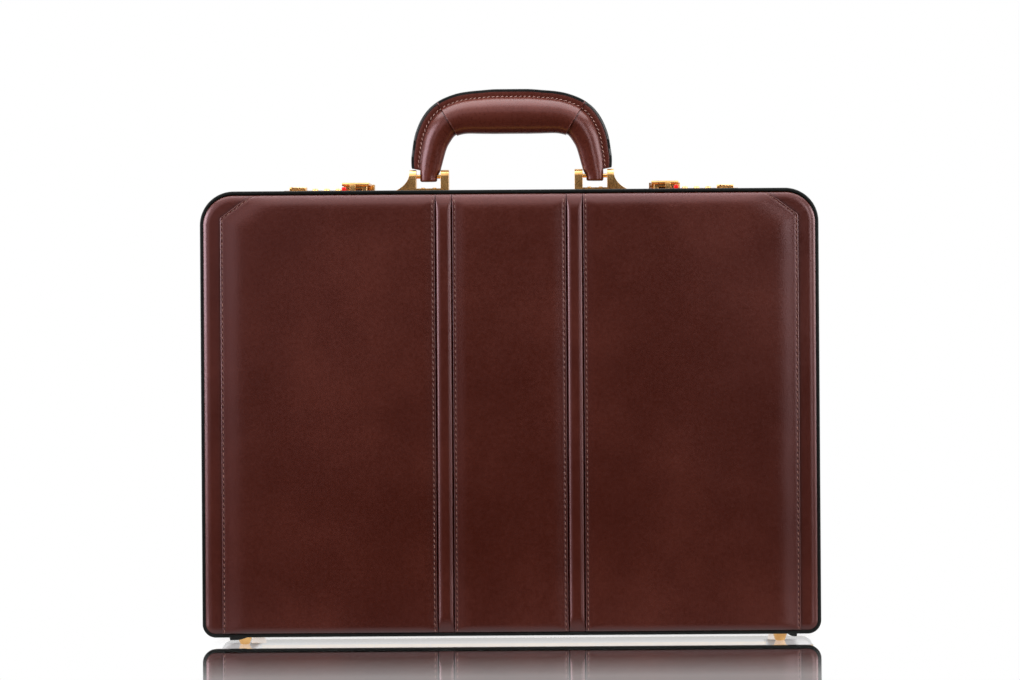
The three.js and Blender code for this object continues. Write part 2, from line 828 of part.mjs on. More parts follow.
for (const [name, side] of Object.entries(sides)) {
  add(`handle_bracket_${name}`, bracket(side), brass);
  const ends = [
    side * (bracketPlace - gapHalf - bracketInnerEar),
    side * (bracketPlace + gapHalf + bracketOuterEar),
  ];
  add(`handle_pin_${name}`, rodAlongX(ends, handleAxis, handlePinRadius), brass);
}

// Handle: a padded roll of leather whose sewn edge stands out round the outside, a sleeve over the
// grip, and a steel strap inside that takes the load from pin to pin

const handleLineShares = [
  [1, -tabDrop / gripRise],
  [1, 0],
  [0.99, 0.2],
  [0.968, 0.36],
  [0.912, 0.62],
  [0.79, 0.86],
  [0.61, 0.965],
  [0.31, 0.995],
  [0, 1],
];
const handleLine = new THREE.CatmullRomCurve3(
  [
    ...handleLineShares.map(([x, z]) => [-x, z]),
    ...handleLineShares.slice(0, -1).reverse(),
  ].map(([x, z]) => new THREE.Vector3(x * bracketPlace, 0, z * gripRise)),
  false,
  "centripetal",
);

// Size along the line, by the share of the way from a leg's end to the middle of the grip
const fullnessShares = [0, 0.045, 0.09, 0.16, 0.25, 0.38, 0.52, 0.72, 0.86, 1];
const halfWidths = [
  tabHalfWidth,
  tabHalfWidth * 1.05,
  legHalfWidth * 0.91,
  legHalfWidth,
  legHalfWidth * 1.04,
  (legHalfWidth * 2 + gripHalfWidth) / 3,
  (legHalfWidth + gripHalfWidth) / 2,
  gripHalfWidth * 0.95,
  gripHalfWidth,
  gripHalfWidth,
];
const halfDepths = [
  tabHalfDepth,
  tabHalfDepth,
  tabHalfDepth * 1.04,
  (tabHalfDepth * 3 + legHalfDepth) / 4,
  (tabHalfDepth + legHalfDepth) / 2,
  legHalfDepth,
  (legHalfDepth + gripHalfDepth) / 2,
  gripHalfDepth * 0.96,
  gripHalfDepth,
  gripHalfDepth,
];

function along(sizes, share) {
  const fold = 1 - Math.abs(1 - 2 * share);
  const next = Math.max(1, fullnessShares.findIndex((s) => s >= fold));
  const low = fullnessShares[next - 1];
  const mix = (fold - low) / (fullnessShares[next] - low);
  return sizes[next - 1] + (sizes[next] - sizes[next - 1]) * mix;
}

// A place on the handle's line: the point, and the direction that faces out of the arch
function station(share) {
  const point = handleLine.getPointAt(share);
  const run = handleLine.getTangentAt(share);
  return { point, out: new THREE.Vector3(-run.z, 0, run.x) };
}

function placed({ point, out }, outward, sideways) {
  return new THREE.Vector3(
    point.x + out.x * outward,
    handleAxis.y + sideways,
    handleAxis.z + point.z + out.z * outward,
  );
}

const rollAngleShares = [0.2, 0.36, 0.52, 0.68, 0.84];

// One section of the roll: an oval with the fin of the sewn edge on its outside
function rollSection(share, swell, finExtra) {
  const place = station(share);
  const width = along(halfWidths, share) + swell;
  const depth = along(halfDepths, share) + swell;
  const finHalf = finHalfThickness + swell;
  const legPart = Math.min(Math.max(1 - place.point.z / gripRise, 0), 1);
  const fin = place.point.z > finEnd ? finHeight * (1 - (1 - finLegShare) * legPart) + finExtra : 0;
  const root = Math.sqrt(1 - (finHalf / depth) ** 2) * width;
  const half = [
    [width + fin, finHalf],
    [Math.min(root, width), finHalf],
    ...rollAngleShares.map((s) => [width * Math.cos(s * Math.PI), depth * Math.sin(s * Math.PI)]),
  ];
  const mirrored = half.map(([outward, sideways]) => [outward, -sideways]).reverse();
  return [...half, [-width, 0], ...mirrored].map(([outward, sideways]) => placed(place, outward, sideways));
}

function strapSection(share, swell, beyond = 0) {
  const place = station(share);
  place.point.z -= beyond;
  const thick = coreThickness / 2 + swell;
  const wide = coreWidth / 2 + swell;
  return [
    placed(place, thick, wide),
    placed(place, -thick, wide),
    placed(place, -thick, -wide),
    placed(place, thick, -wide),
  ];
}

const legShares = [0, 0.0225, 0.045, 0.0505, 0.0545, 0.08, 0.125, 0.16, 0.2, 0.252, 0.285, 0.33, 0.4];
const handleShares = [...legShares, 0.5, ...legShares.map((s) => 1 - s).reverse()];
const sleeveShares = handleShares.filter((s) => Math.abs(station(s).point.x) < sleeveHalfLength);

const handleBores = Object.values(sides).map((side) =>
  rodAlongX([0, side * (bracketPlace + bracketGap)], handleAxis, handleBoreRadius),
);
const legBores = handleBores.map((bore, i) =>
  common(
    bore,
    block(
      [
        Object.values(sides)[i] * (bracketPlace - gapHalf),
        Object.values(sides)[i] * (bracketPlace + gapHalf),
      ],
      [handleAxis.y - bracketDepth, handleAxis.y + bracketDepth],
      [handleAxis.z - bracketDepth, handleAxis.z + bracketDepth],
    ),
  ),
);

const roll = loft(handleShares.map((share) => rollSection(share, 0, 0)));
const strap = loft(handleShares.map((share) => strapSection(share, 0)));
const strapChannel = loft([
  strapSection(0, coreClearance, overrun),
  ...handleShares.slice(1, -1).map((share) => strapSection(share, coreClearance)),
  strapSection(1, coreClearance, overrun),
]);
add("handle_roll", cut(roll, strapChannel, ...legBores), leather);
add("handle_core", cut(strap, ...legBores), steel);
add(
  "handle_sleeve",
  cut(
    loft(sleeveShares.map((share) => rollSection(share, seat + sleeveThickness, -seat - sleeveThickness))),
    loft(handleShares.map((share) => rollSection(share, seat, overrun))),
  ),
  leather,
);

// Combination locks

const lockInner = lockPlace - lockLength / 2;
const lockFront = seamPlace + lockSetback;
const lockTop = leatherTop + lockRise;

function lockSpan(side, start, length) {
  return [side * (lockInner + start), side * (lockInner + start + length)];
}

function dialCentre(index) {
  return dialStart + index * dialPitch;
}

function lockCase(side) {
  const plate = block(
    lockSpan(side, 0, lockLength),
    [lockFront, lockFront + lockDepth],
    [plateBottom, lockTop],
  );
  const tub = block(
    tubSpan.map((x) => side * x),
    [dialAxis.y - tubHalfDepth, dialAxis.y + tubHalfDepth],
    [tubFloor, lockTop],
  );
  const ears = [haspStart - seat - earThickness, haspStart + haspWidth + seat].map((start) =>
    block(
      lockSpan(side, start, earThickness),
      [haspAxis.y - earHalfDepth, haspAxis.y + earHalfDepth],
      [plateBottom, haspAxis.z + haspBarrelRadius],
    ),
  );
  const slots = [0, 1, 2].map((index) => {
    const width = dialWidth + 2 * dialClearance;
    const reach = dialRadius + dialClearance;
    return block(
      lockSpan(side, dialCentre(index) - width / 2, width),
      [dialAxis.y - reach, dialAxis.y + reach],
      [tubFloor + tubWallInner, lockTop + overrun],
    );
  });
  const shaftStart = dialCentre(0) - dialWidth / 2 - dialClearance - shaftMargin;
  const shaftLength = 2 * (dialPitch + shaftMargin + dialClearance) + dialWidth;
  const shaftBore = rodAlongX(
    lockSpan(side, shaftStart - seat, shaftLength + 2 * seat),
    dialAxis,
    shaftBoreRadius,
  );
  const stemStart = thumbStart + (thumbLength - thumbStemLength) / 2;
  const stemSlot = block(
    lockSpan(side, stemStart - thumbClearance, thumbStemLength + thumbTravel + 2 * thumbClearance),
    [dialAxis.y - thumbStemWidth / 2 - thumbClearance, dialAxis.y + thumbStemWidth / 2 + thumbClearance],
    [tubFloor + tubWallInner, lockTop + overrun],
  );
  const pinBore = rodAlongX(lockSpan(side, -overrun, haspWidth + 3 * overrun), haspAxis, haspBoreRadius);
  return cut(join(plate, tub, ...ears), ...slots, shaftBore, stemSlot, pinBore);
}

function dialShaft(side) {
  const start = dialCentre(0) - dialWidth / 2 - dialClearance - shaftMargin;
  const length = 2 * (dialPitch + shaftMargin + dialClearance) + dialWidth;
  return rodAlongX(lockSpan(side, start, length), dialAxis, dialShaftRadius);
}

function dial(side, index) {
  const outline = Array.from({ length: dialSides }, (_, i) => {
    const angle = ((i + edgeShare) * Math.PI * 2) / dialSides;
    return [dialAxis.y + dialRadius * Math.cos(angle), dialAxis.z + dialRadius * Math.sin(angle)];
  });
  const span = lockSpan(side, dialCentre(index) - dialWidth / 2, dialWidth);
  return prismAlongX(outline, span, circleHole(dialAxis, dialBoreRadius));
}

function thumbSlide(side) {
  const low = lockTop + seat;
  const high = low + thumbHeight;
  const front = dialAxis.y - thumbDepth / 2;
  const back = dialAxis.y + thumbDepth / 2;
  const outline = [
    [front, low],
    [back, low],
    [back, high - thumbEdge],
    [back - thumbEdge, high],
    [front + thumbEdge, high],
    [front, high - thumbEdge],
  ];
  const knob = prismAlongX(outline, lockSpan(side, thumbStart, thumbLength));
  const pitch = thumbLength / (thumbGrooves + 1);
  const grooves = Array.from({ length: thumbGrooves }, (_, i) =>
    block(
      lockSpan(side, thumbStart + (i + 1) * pitch - thumbGroove / 2, thumbGroove),
      [front - overrun, back + overrun],
      [high - thumbGroove, high + overrun],
    ),
  );
  const stemStart = thumbStart + (thumbLength - thumbStemLength) / 2;
  const stem = block(
    lockSpan(side, stemStart, thumbStemLength),
    [dialAxis.y - thumbStemWidth / 2, dialAxis.y + thumbStemWidth / 2],
    [tubFloor + tubWallInner + seat, low + thumbEdge],
  );
  return join(cut(knob, ...grooves), stem);
}

// Hasp: a plate hinged behind, with a rolled nose and a hook that drops in front of the staple's bar
function hasp(side) {
  const top = leatherTop + haspTop;
  const front = seamPlace - haspReach;
  const noseRadius = haspNose / 2;
  const nose = Array.from({ length: haspNoseSteps + 1 }, (_, i) => {
    const angle = -Math.PI / 2 - (i * Math.PI) / haspNoseSteps;
    return [front + noseRadius + noseRadius * Math.cos(angle), top - noseRadius + noseRadius * Math.sin(angle)];
  });
  const barrel = Array.from({ length: haspBarrelSteps + 1 }, (_, i) => {
    const angle = Math.PI / 2 - (i * Math.PI * 1.25) / haspBarrelSteps;
    return [haspAxis.y + haspBarrelRadius * Math.cos(angle), haspAxis.z + haspBarrelRadius * Math.sin(angle)];
  });
  const underBarrel = [haspAxis.y - haspBarrelRadius, top - haspThickness];
  const outline = [
    ...nose,
    [haspAxis.y - haspBarrelRadius, top],
    ...barrel,
    underBarrel,
    [front + haspNose, top - haspThickness],
  ];
  const plate = prismAlongX(outline, lockSpan(side, haspStart, haspWidth), circleHole(haspAxis, haspBoreRadius));
  const hookStart = haspStart + haspHookShift + (haspWidth - haspHookWidth) / 2;
  const hook = block(
    lockSpan(side, hookStart, haspHookWidth),
    [front, front + haspHookThickness],
    [top - haspHookDrop, top - noseRadius],
  );
  return join(plate, hook);
}

function staple(side) {
  const back = seamPlace - staplePlateStart;
  const plate = block(
    lockSpan(side, haspStart, haspWidth),
    [back - staplePlateDepth, back],
    [plateBottom, plateBottom + staplePlate],
  );
  const front = seamPlace - haspReach + haspHookThickness + stapleClearance;
  const top = leatherTop + stapleHeight;
  const posts = [staplePostMargin, haspWidth - staplePostMargin - staplePostWidth].map((start) =>
    block(lockSpan(side, haspStart + start, staplePostWidth), [front, front + stapleDepth], [plateBottom, top]),
  );
  const bar = block(
    lockSpan(side, haspStart + staplePostMargin, haspWidth - 2 * staplePostMargin),
    [front, front + stapleDepth / 2],
    [top - stapleBar, top],
  );
  return join(plate, ...posts, bar);
}

for (const [name, side] of Object.entries(sides)) {
  add(`lock_case_${name}`, lockCase(side), brass);
  add(`dial_shaft_${name}`, dialShaft(side), steel);
  [0, 1, 2].forEach((index) => add(`dial_${name}_${index + 1}`, dial(side, index), brass));
  add(`thumb_slide_${name}`, thumbSlide(side), brass);
  add(`hasp_${name}`, hasp(side), brass);
  const pinStart = haspStart - seat - earThickness;
  const pinLength = haspWidth + 2 * (seat + earThickness);
  add(`hasp_pin_${name}`, rodAlongX(lockSpan(side, pinStart, pinLength), haspAxis, haspPinRadius), steel);
  add(`staple_${name}`, staple(side), brass);
}

// Papers pocket and organiser inside the lid

const lidFloor = -(liningFace - liningThickness);
const pocketBottom = bodyBottom + liningInner + pocketRise;
const pocketBack = lidFloor + seat;
const pocketFront = pocketBack + pocketDepth;

const pocketBody = block(
  [-pocketWidth / 2, pocketWidth / 2],
  [pocketBack, pocketFront],
  [pocketBottom, pocketBottom + pocketHeight],
);
const pocketHollow = block(
  [-pocketWidth / 2 + pocketLeather, pocketWidth / 2 - pocketLeather],
  [pocketBack - overrun, pocketFront - pocketLeather],
  [pocketBottom + pocketLeather, pocketBottom + pocketHeight + overrun],
);
add("papers_pocket", cut(pocketBody, pocketHollow), leather);

const organiserTop = pocketBottom + pocketHeight - organiserDrop;
add(
  "organiser",
  block(
    [-organiserWidth / 2, organiserWidth / 2],
    [pocketFront + seat, pocketFront + seat + organiserThickness],
    [organiserTop - organiserHeight, organiserTop],
  ),
  leather,
);

export default attacheCase;
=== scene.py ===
# %% [markdown]
# # A leather attache case
# The case is a ply box in two halves, covered in dark red-brown leather, with black piping round each
# face, brass locks and a rolled leather handle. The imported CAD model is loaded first. It fixes every
# size and place, and each piece made below is drawn in its frame, so nothing has to be fitted later.

# %% Load the frame
import bpy, bmesh, json, math
from mathutils import Matrix, Vector, noise

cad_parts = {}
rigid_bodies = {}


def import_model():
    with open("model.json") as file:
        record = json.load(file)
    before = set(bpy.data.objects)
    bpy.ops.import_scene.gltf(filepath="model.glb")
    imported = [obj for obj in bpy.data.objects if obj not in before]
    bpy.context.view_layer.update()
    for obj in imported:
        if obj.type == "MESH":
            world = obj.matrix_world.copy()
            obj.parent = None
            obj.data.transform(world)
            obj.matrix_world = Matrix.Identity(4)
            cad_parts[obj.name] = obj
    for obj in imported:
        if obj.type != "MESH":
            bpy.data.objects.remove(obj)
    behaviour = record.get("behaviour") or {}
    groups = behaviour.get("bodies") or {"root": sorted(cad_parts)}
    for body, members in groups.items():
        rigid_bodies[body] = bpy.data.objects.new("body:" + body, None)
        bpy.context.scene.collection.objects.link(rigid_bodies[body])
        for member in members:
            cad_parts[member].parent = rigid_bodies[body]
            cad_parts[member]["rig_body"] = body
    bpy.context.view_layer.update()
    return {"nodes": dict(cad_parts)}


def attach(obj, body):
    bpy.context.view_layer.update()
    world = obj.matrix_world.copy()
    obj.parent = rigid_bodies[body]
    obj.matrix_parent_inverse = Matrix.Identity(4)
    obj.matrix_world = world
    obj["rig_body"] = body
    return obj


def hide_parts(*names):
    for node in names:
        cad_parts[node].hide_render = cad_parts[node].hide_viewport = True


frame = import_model()
scene = bpy.context.scene
mm = 0.001

# %% [markdown]
# ## Sizes
# These are the sizes of the real case that the dressed pieces share with the solids, in metres. Heights
# above the board are measured outwards from a face, towards the front on the lid and towards the back on
# the base, so one function can make both.

# %% The sizes of the case
CASE_WIDTH = 457 * mm
BODY_BOTTOM, BODY_TOP = 5.8 * mm, 335.3 * mm  # heights of the body's underside and top above the feet
LEATHER_TOP = 333.4 * mm  # top of the side leather, a little below the piping on either side of it
TOP_CORNER, BOTTOM_CORNER = 25 * mm, 10 * mm
SEAM = -14 * mm  # where lid and base meet, in front of the middle of the depth
FACE = 50.4 * mm  # middle of the depth to where the padding starts
RIB_PLACE, RIB_HALF, CREASE = 48.35 * mm, 5.95 * mm, 0.15 * mm  # a rib's middle, half width and gap beside it
SEWN_IN = 2.1 * mm  # folded edge to the line of stitches
STITCH_PITCH = 4.1 * mm
SIDE_SEAM = 213.9 * mm  # middle of the lid's face to the seam down either side of it
MITRE_RUN, MITRE_DROP = 21.7 * mm, 16.1 * mm  # that seam's diagonal at the top corner: how far in, and down
FACE_TOP, FACE_BOTTOM = BODY_TOP - 3.2 * mm, BODY_BOTTOM + 2.6 * mm
FACE_HALF = CASE_WIDTH / 2 - 2.3 * mm
FACE_TOP_CORNER, FACE_BOTTOM_CORNER = TOP_CORNER - 2.7 * mm, BOTTOM_CORNER - 2.5 * mm
HALVES = {"lid": -1, "base": 1}
SIDES = {"left": -1, "right": 1}
print("leather face, mm:", round((FACE_TOP - FACE_BOTTOM) / mm, 1), "high")

# %% [markdown]
# ## Camera
# The photograph looks straight at the lid. Its upright edges stay parallel and the back feet are hidden, so
# the camera is level, 224 mm above the table and 2.2 m from the lid. The body is 1.354 pixels to the
# millimetre, which gives the lens. The handle and locks stand a little to the right of the face's middle,
# so the camera stands 90 mm to the right, and a lens shift keeps the case in the middle of the picture. The
# photograph's level edges lean 0.4 degrees, so the camera leans that much.

# %% Place the camera
CAMERA_DISTANCE, CAMERA_ASIDE, CAMERA_HEIGHT = 2.2, 90 * mm, 224 * mm
CAMERA_LEAN = math.radians(-0.4)
PIXELS_PER_MM, FRAME_PIXELS = 1.3538, 1020
SENSOR_WIDTH = 36
SHIFT_UP = -0.0006  # in frame widths: the last half pixel in height
camera_data = bpy.data.cameras.new("studio_camera")
camera = bpy.data.objects.new("studio_camera", camera_data)
scene.collection.objects.link(camera)
camera_data.sensor_width = SENSOR_WIDTH
camera_data.lens = SENSOR_WIDTH * CAMERA_DISTANCE / (FRAME_PIXELS / PIXELS_PER_MM * mm)
camera_data.clip_end = 20
camera_data.shift_x = -CAMERA_ASIDE * PIXELS_PER_MM / mm / FRAME_PIXELS
camera_data.shift_y = SHIFT_UP
camera.matrix_world = (
    Matrix.Translation((CAMERA_ASIDE, -FACE - CAMERA_DISTANCE, CAMERA_HEIGHT))
    @ Matrix.Rotation(math.radians(90), 4, "X")
    @ Matrix.Rotation(CAMERA_LEAN, 4, "Z")
)
scene.camera = camera
print("lens, mm:", round(camera_data.lens, 1))

# %% [markdown]
# ## Colours and node trees
# Colours are written as they look on a screen, such as 3c1104 for the leather, and the shaders need them
# linear, so one function turns one into the other. A second adds a node with its settings and its links in
# one line, which keeps every material below short enough to read. It takes the sockets by name, or in their
# order on the node.

# %% Helpers for materials
# Blender's names for the nodes and settings that come back most often
MATH, VECTOR_MATH = "ShaderNodeMath", "ShaderNodeVectorMath"
ADD, SUBTRACT, MULTIPLY, MAXIMUM, ABSOLUTE, LENGTH = (
    {"operation": name} for name in ("ADD", "SUBTRACT", "MULTIPLY", "MAXIMUM", "ABSOLUTE", "LENGTH"))
MAP_RANGE, SMOOTH = "ShaderNodeMapRange", {"interpolation_type": "SMOOTHSTEP"}
MIX, COLOURS, PLAIN_NUMBERS = "ShaderNodeMix", {"data_type": "RGBA"}, {"data_type": "FLOAT"}


def tint(hex_colour):
    """A colour as it looks on a screen, made linear for the shaders."""
    channels = [int(hex_colour[i : i + 2], 16) / 255 for i in (0, 2, 4)]
    linear = [c / 12.92 if c <= 0.04045 else ((c + 0.055) / 1.055) ** 2.4 for c in channels]
    return (*linear, 1)


def grey(value):
    return (value, value, value, 1)


def add_node(tree, kind, settings=None, sockets=()):
    """Adds a node. A socket is linked to another node's output, or to a node's first one, or else set."""
    node = tree.nodes.new(kind)
    for name, value in (settings or {}).items():
        setattr(node, name, value)
    for name, value in sockets.items() if isinstance(sockets, dict) else enumerate(sockets):
        if isinstance(value, bpy.types.Node):
            value = value.outputs[0]
        if isinstance(value, bpy.types.NodeSocket):
            tree.links.new(value, node.inputs[name])
        else:
            node.inputs[name].default_value = value
    return node


def new_material(name):
    material = bpy.data.materials.new(name)
    material.use_nodes = True
    material.node_tree.nodes.clear()
    return material, material.node_tree


def set_stops(elements, stops):
    """Gives a colour ramp its stops: each has a place from 0 to 1 and a colour."""
    while len(elements) < len(stops):
        elements.new(0.5)
    for element, (place, colour) in zip(elements, stops):
        element.position = place
        element.color = colour


# %% [markdown]
# ## Leather
# The face is smooth calf leather with a soft shine: a very fine grain, a colour that clouds gently over a
# hand's width, and painted shade in the folds. Voronoi cells half a millimetre wide give the grain's pores,
# and noise at two sizes gives the clouding, the fine specks and the change in shine. A mesh attribute called
# "fold" says how near a fold is. It is 1 at a folded edge and fades to 0, and painted shade darkens the
# leather with it. Where two pieces press together it goes up to 2.2, and past 0.55 that painted shade turns
# nearly black.

# %% Leather
CLOUD_SIZE, SPECK_SIZE = 71.43 * mm, 2.381 * mm
# The fold share paints shade near folded edges, and the next line's values paint a nearly black shade where
# pieces press together; cloud and speck are the leather's own tone
CLOUD_SHARE, SPECK_SHARE, FOLD_SHADE_SHARE = 0.72, 0.28, 0.16  # how far each one sways the colour
CREASE_FROM, CREASE_TO, CREASE_SHADE_SHARE, CREASE_SHADE_COLOUR = 0.55, 2.2, 0.9, "120604"
PORE_DEPTH = 0.08 * mm


def leather(name, dark, mid, light, roughness=0.4, grain=0.55, depth=0.35, folds=True, shine=0.5,
            glint="ffffff"):
    """Leather in three tones, with painted shade at folds and joints unless folds is off. The grain is the
    width of its pores in mm, the depth how strongly they show.
    """
    material, tree = new_material(name)
    place = add_node(tree, "ShaderNodeTexCoord").outputs["Object"]
    cloud = add_node(tree, "ShaderNodeTexNoise", sockets={
        "Vector": place, "Scale": 1 / CLOUD_SIZE, "Detail": 5, "Roughness": 0.55}).outputs[0]
    speck = add_node(tree, "ShaderNodeTexNoise", sockets={
        "Vector": place, "Scale": 1 / SPECK_SIZE, "Detail": 3, "Roughness": 0.6}).outputs[0]
    pores = add_node(tree, "ShaderNodeTexVoronoi", {"feature": "SMOOTH_F1"}, {
        "Vector": place, "Scale": 1 / (grain * mm), "Smoothness": 0.6, "Randomness": 0.9}).outputs["Distance"]
    shade = add_node(tree, MATH, ADD, (add_node(tree, MATH, MULTIPLY, (cloud, CLOUD_SHARE)),
                                       add_node(tree, MATH, MULTIPLY, (speck, SPECK_SHARE))))
    # Painted shade: near a folded edge the fold attribute darkens the colour
    if folds:
        fold = add_node(tree, "ShaderNodeAttribute", {"attribute_name": "fold"}).outputs["Fac"]
        darker = add_node(tree, MATH, MULTIPLY, (fold, FOLD_SHADE_SHARE))
        shade = add_node(tree, MATH, SUBTRACT, (shade, darker))
    colour = add_node(tree, "ShaderNodeValToRGB", sockets={"Fac": shade})
    set_stops(colour.color_ramp.elements, [(0.3, tint(dark)), (0.5, tint(mid)), (0.68, tint(light))])
    # Painted shade where pieces press together: past CREASE_FROM the colour turns nearly black
    if folds:
        crease_shade = add_node(tree, MAP_RANGE, sockets=(fold, CREASE_FROM, CREASE_TO, 0, CREASE_SHADE_SHARE))
        colour = add_node(tree, MIX, COLOURS, {0: crease_shade, 6: colour, 7: tint(CREASE_SHADE_COLOUR)}).outputs[2]
    wear = add_node(tree, MATH, ADD, (cloud, speck))
    gloss = add_node(tree, MAP_RANGE, sockets=(wear, 0.7, 1.3, roughness - 0.05, roughness + 0.06))
    height = add_node(tree, MATH, ADD, (pores, add_node(tree, MATH, MULTIPLY, (speck, 0.5))))
    bump = add_node(tree, "ShaderNodeBump", sockets={
        "Strength": depth, "Distance": PORE_DEPTH, "Height": height})
    shader = add_node(tree, "ShaderNodeBsdfPrincipled", sockets={
        "Base Color": colour, "Roughness": gloss, "Normal": bump.outputs[0], "IOR": 1.5})
    shader.inputs["Specular IOR Level"].default_value = shine
    shader.inputs["Specular Tint"].default_value = tint(glint)
    add_node(tree, "ShaderNodeOutputMaterial", sockets={"Surface": shader})
    return material


# %% The five leathers
DYED_SHINE = "ffd8de"  # the dye stains the polish too, so even its highlights are a little pink
# Dyed through and polished with wax: deep red-brown, with broad soft highlights that fade gently
case_leather = leather("calf leather, dark red-brown, polished", "340d03", "3c1104", "451606", 0.33,
                       shine=0.6, glint=DYED_SHINE)
# The same hide rubbed smooth by hands: a warmer brown, with tighter highlights along the grip
handle_leather = leather("calf leather, handle, polished", "3a1810", "451e16", "4f251b", 0.28, depth=0.12,
                         shine=0.33, glint=DYED_SHINE)
# Unpolished: an even mid brown that hardly catches the light, so the inside stays calm
inside_leather = leather("calf leather, inside, matt", "43211a", "58301f", "6b3f2b", 0.6, folds=False)
# Dyed black and rolled: nearly no colour, and a thin grey line of light where it turns
black_leather = leather("black leather piping", "050706", "080b09", "0e110f", 0.42, folds=False, shine=0.2)
# Two coats brushed on a cut edge: black, smoother than the leather, with slow waves in its gloss
edge_paint = leather("black edge paint", "070a09", "0c0f0e", "151918", 0.3, grain=1.2, depth=0.15,
                     folds=False)
leathers = (case_leather, handle_leather, inside_leather, black_leather, edge_paint)
print("leathers:", " | ".join(material.name for material in leathers))

# %% [markdown]
# ## Metal, thread, lining and board
# The brackets and locks are polished brass and the mouth frames are brushed aluminium in the colour of
# brass. Polish keeps a few fine scratches, and brushing is the same noise stretched along the strip. Thread,
# enamel, suede and ply are simpler: one noise gives each its colour and its relief, at its own size.

# %% Metal
SCRATCH_SIZE, TARNISH_SIZE = 1.1111 * mm, 11.111 * mm  # real scratches are finer, and wouldn't show
SCRATCH_DEPTH = 0.03 * mm


def metal(name, colour, deep, roughness, scratch=0.12, stretch=(1, 1, 1)):
    """Metal in two tones. A stretch below 1 along an axis draws the scratches out that way."""
    material, tree = new_material(name)
    place = add_node(tree, "ShaderNodeTexCoord").outputs["Object"]
    drawn = add_node(tree, "ShaderNodeMapping", sockets={"Vector": place, "Scale": stretch}).outputs[0]
    fine = add_node(tree, "ShaderNodeTexNoise", sockets={
        "Vector": drawn, "Scale": 1 / SCRATCH_SIZE, "Detail": 4, "Roughness": 0.7}).outputs[0]
    broad = add_node(tree, "ShaderNodeTexNoise", sockets={
        "Vector": place, "Scale": 1 / TARNISH_SIZE, "Detail": 3}).outputs[0]
    tone = add_node(tree, "ShaderNodeValToRGB", sockets={"Fac": broad})
    set_stops(tone.color_ramp.elements, [(0.35, tint(deep)), (0.62, tint(colour))])
    gloss = add_node(tree, MAP_RANGE, sockets=(fine, 0.3, 0.7, roughness - 0.04, roughness + 0.07))
    bump = add_node(tree, "ShaderNodeBump", sockets={
        "Strength": scratch, "Distance": SCRATCH_DEPTH, "Height": fine})
    shader = add_node(tree, "ShaderNodeBsdfPrincipled", sockets={
        "Base Color": tone, "Roughness": gloss, "Normal": bump.outputs[0], "Metallic": 1.0})
    add_node(tree, "ShaderNodeOutputMaterial", sockets={"Surface": shader})
    return material


# Buffed and lacquered: warm gold with soft-edged reflections, brown where it mirrors the dark of the room
polished_brass = metal("polished brass", "e0b070", "c4935a", 0.27)
# Brushed along its length and anodised: a yellower, duller gold with its highlight drawn out in a band
brushed_brass = metal("brushed brass-coloured aluminium", "cda45a", "b58a45", 0.32, 0.3, (1, 1, 0.04))
# Drawn and left bare: a cool grey that sets the pins and screws off from the brass
plain_steel = metal("plain steel", "a3a6a8", "8b8e90", 0.34)
print("metals:", polished_brass.name, "|", brushed_brass.name, "|", plain_steel.name)


# %% Thread, enamel, lining and board
RELIEF_DEPTH = 0.2 * mm


def coarse(name, dark, light, size, roughness, depth, sheen=0.0, stretch=(1, 1, 1)):
    """A finish of one grain, of this size in mm, which gives both its colour and its relief."""
    material, tree = new_material(name)
    place = add_node(tree, "ShaderNodeTexCoord").outputs["Object"]
    drawn = add_node(tree, "ShaderNodeMapping", sockets={"Vector": place, "Scale": stretch}).outputs[0]
    grain = add_node(tree, "ShaderNodeTexNoise", sockets={
        "Vector": drawn, "Scale": 1 / (size * mm), "Detail": 5, "Roughness": 0.65}).outputs[0]
    colour = add_node(tree, "ShaderNodeValToRGB", sockets={"Fac": grain})
    set_stops(colour.color_ramp.elements, [(0.32, tint(dark)), (0.66, tint(light))])
    bump = add_node(tree, "ShaderNodeBump", sockets={
        "Strength": depth, "Distance": RELIEF_DEPTH, "Height": grain})
    shader = add_node(tree, "ShaderNodeBsdfPrincipled", sockets={
        "Base Color": colour, "Roughness": roughness, "Normal": bump.outputs[0]})
    shader.inputs["Sheen Weight"].default_value = sheen
    add_node(tree, "ShaderNodeOutputMaterial", sockets={"Surface": shader})
    return material


# Twisted and waxed: dull brown, a little lighter than the leather, with the twist as fine light and dark
thread = coarse("waxed brown thread", "5c342c", "956a5c", 0.3846, 0.6, 0.4)
# The same thread worn pale by hands: it stands out against the handle
pale_thread = coarse("waxed thread, handle, worn pale", "7a4f47", "b08d83", 0.3846, 0.6, 0.4)
# Painted shade of a needle hole: rough and nearly black, it parts one stitch from the next
hole_shade = coarse("painted shade of a needle hole", "0e0403", "1a0806", 1.1111, 0.8, 0.1)
# Fired smooth: one clear glossy red
red_enamel = coarse("red enamel", "c8140f", "e8231a", 5, 0.25, 0.02)
# Filled into the brass and wiped: dark figures without a shine
ink = coarse("black filled numbers", "14110d", "221d17", 1.25, 0.5, 0.05)
# A short pile: fully matt, and paler where it is seen from the side. Its tufts are drawn coarser than real
suede = coarse("suede lining", "6a4a33", "8a6748", 1.4286, 0.95, 0.5, sheen=0.3)
# Sawn and sanded: pale wood with its grain drawn out along the board
ply = coarse("birch ply", "8d6b45", "b8935f", 16.667, 0.75, 0.2, stretch=(0.15, 1, 1))
print("materials, the CAD model's own too:", len(bpy.data.materials))

# %% [markdown]
# ## Making pieces
# Every dressed piece goes through one function: it gets its mesh, its material, the body it rides on and
# the solids that it stands for. The piece's object stays at the origin, with its place in its mesh, as the
# solids' objects do.


# %% Helper for pieces
def new_piece(name, mesh, material, body, replaces=(), smooth=35):
    """Shows a mesh as a piece. Edges sharper than smooth, in degrees, stay sharp, and 0 leaves them alone."""
    piece = bpy.data.objects.new(name, mesh)
    scene.collection.objects.link(piece)
    mesh.materials.clear()
    mesh.materials.append(material)
    if smooth:
        mesh.shade_smooth()
        mesh.set_sharp_from_angle(angle=math.radians(smooth))
    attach(piece, body)
    if replaces:
        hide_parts(*replaces)
    return piece


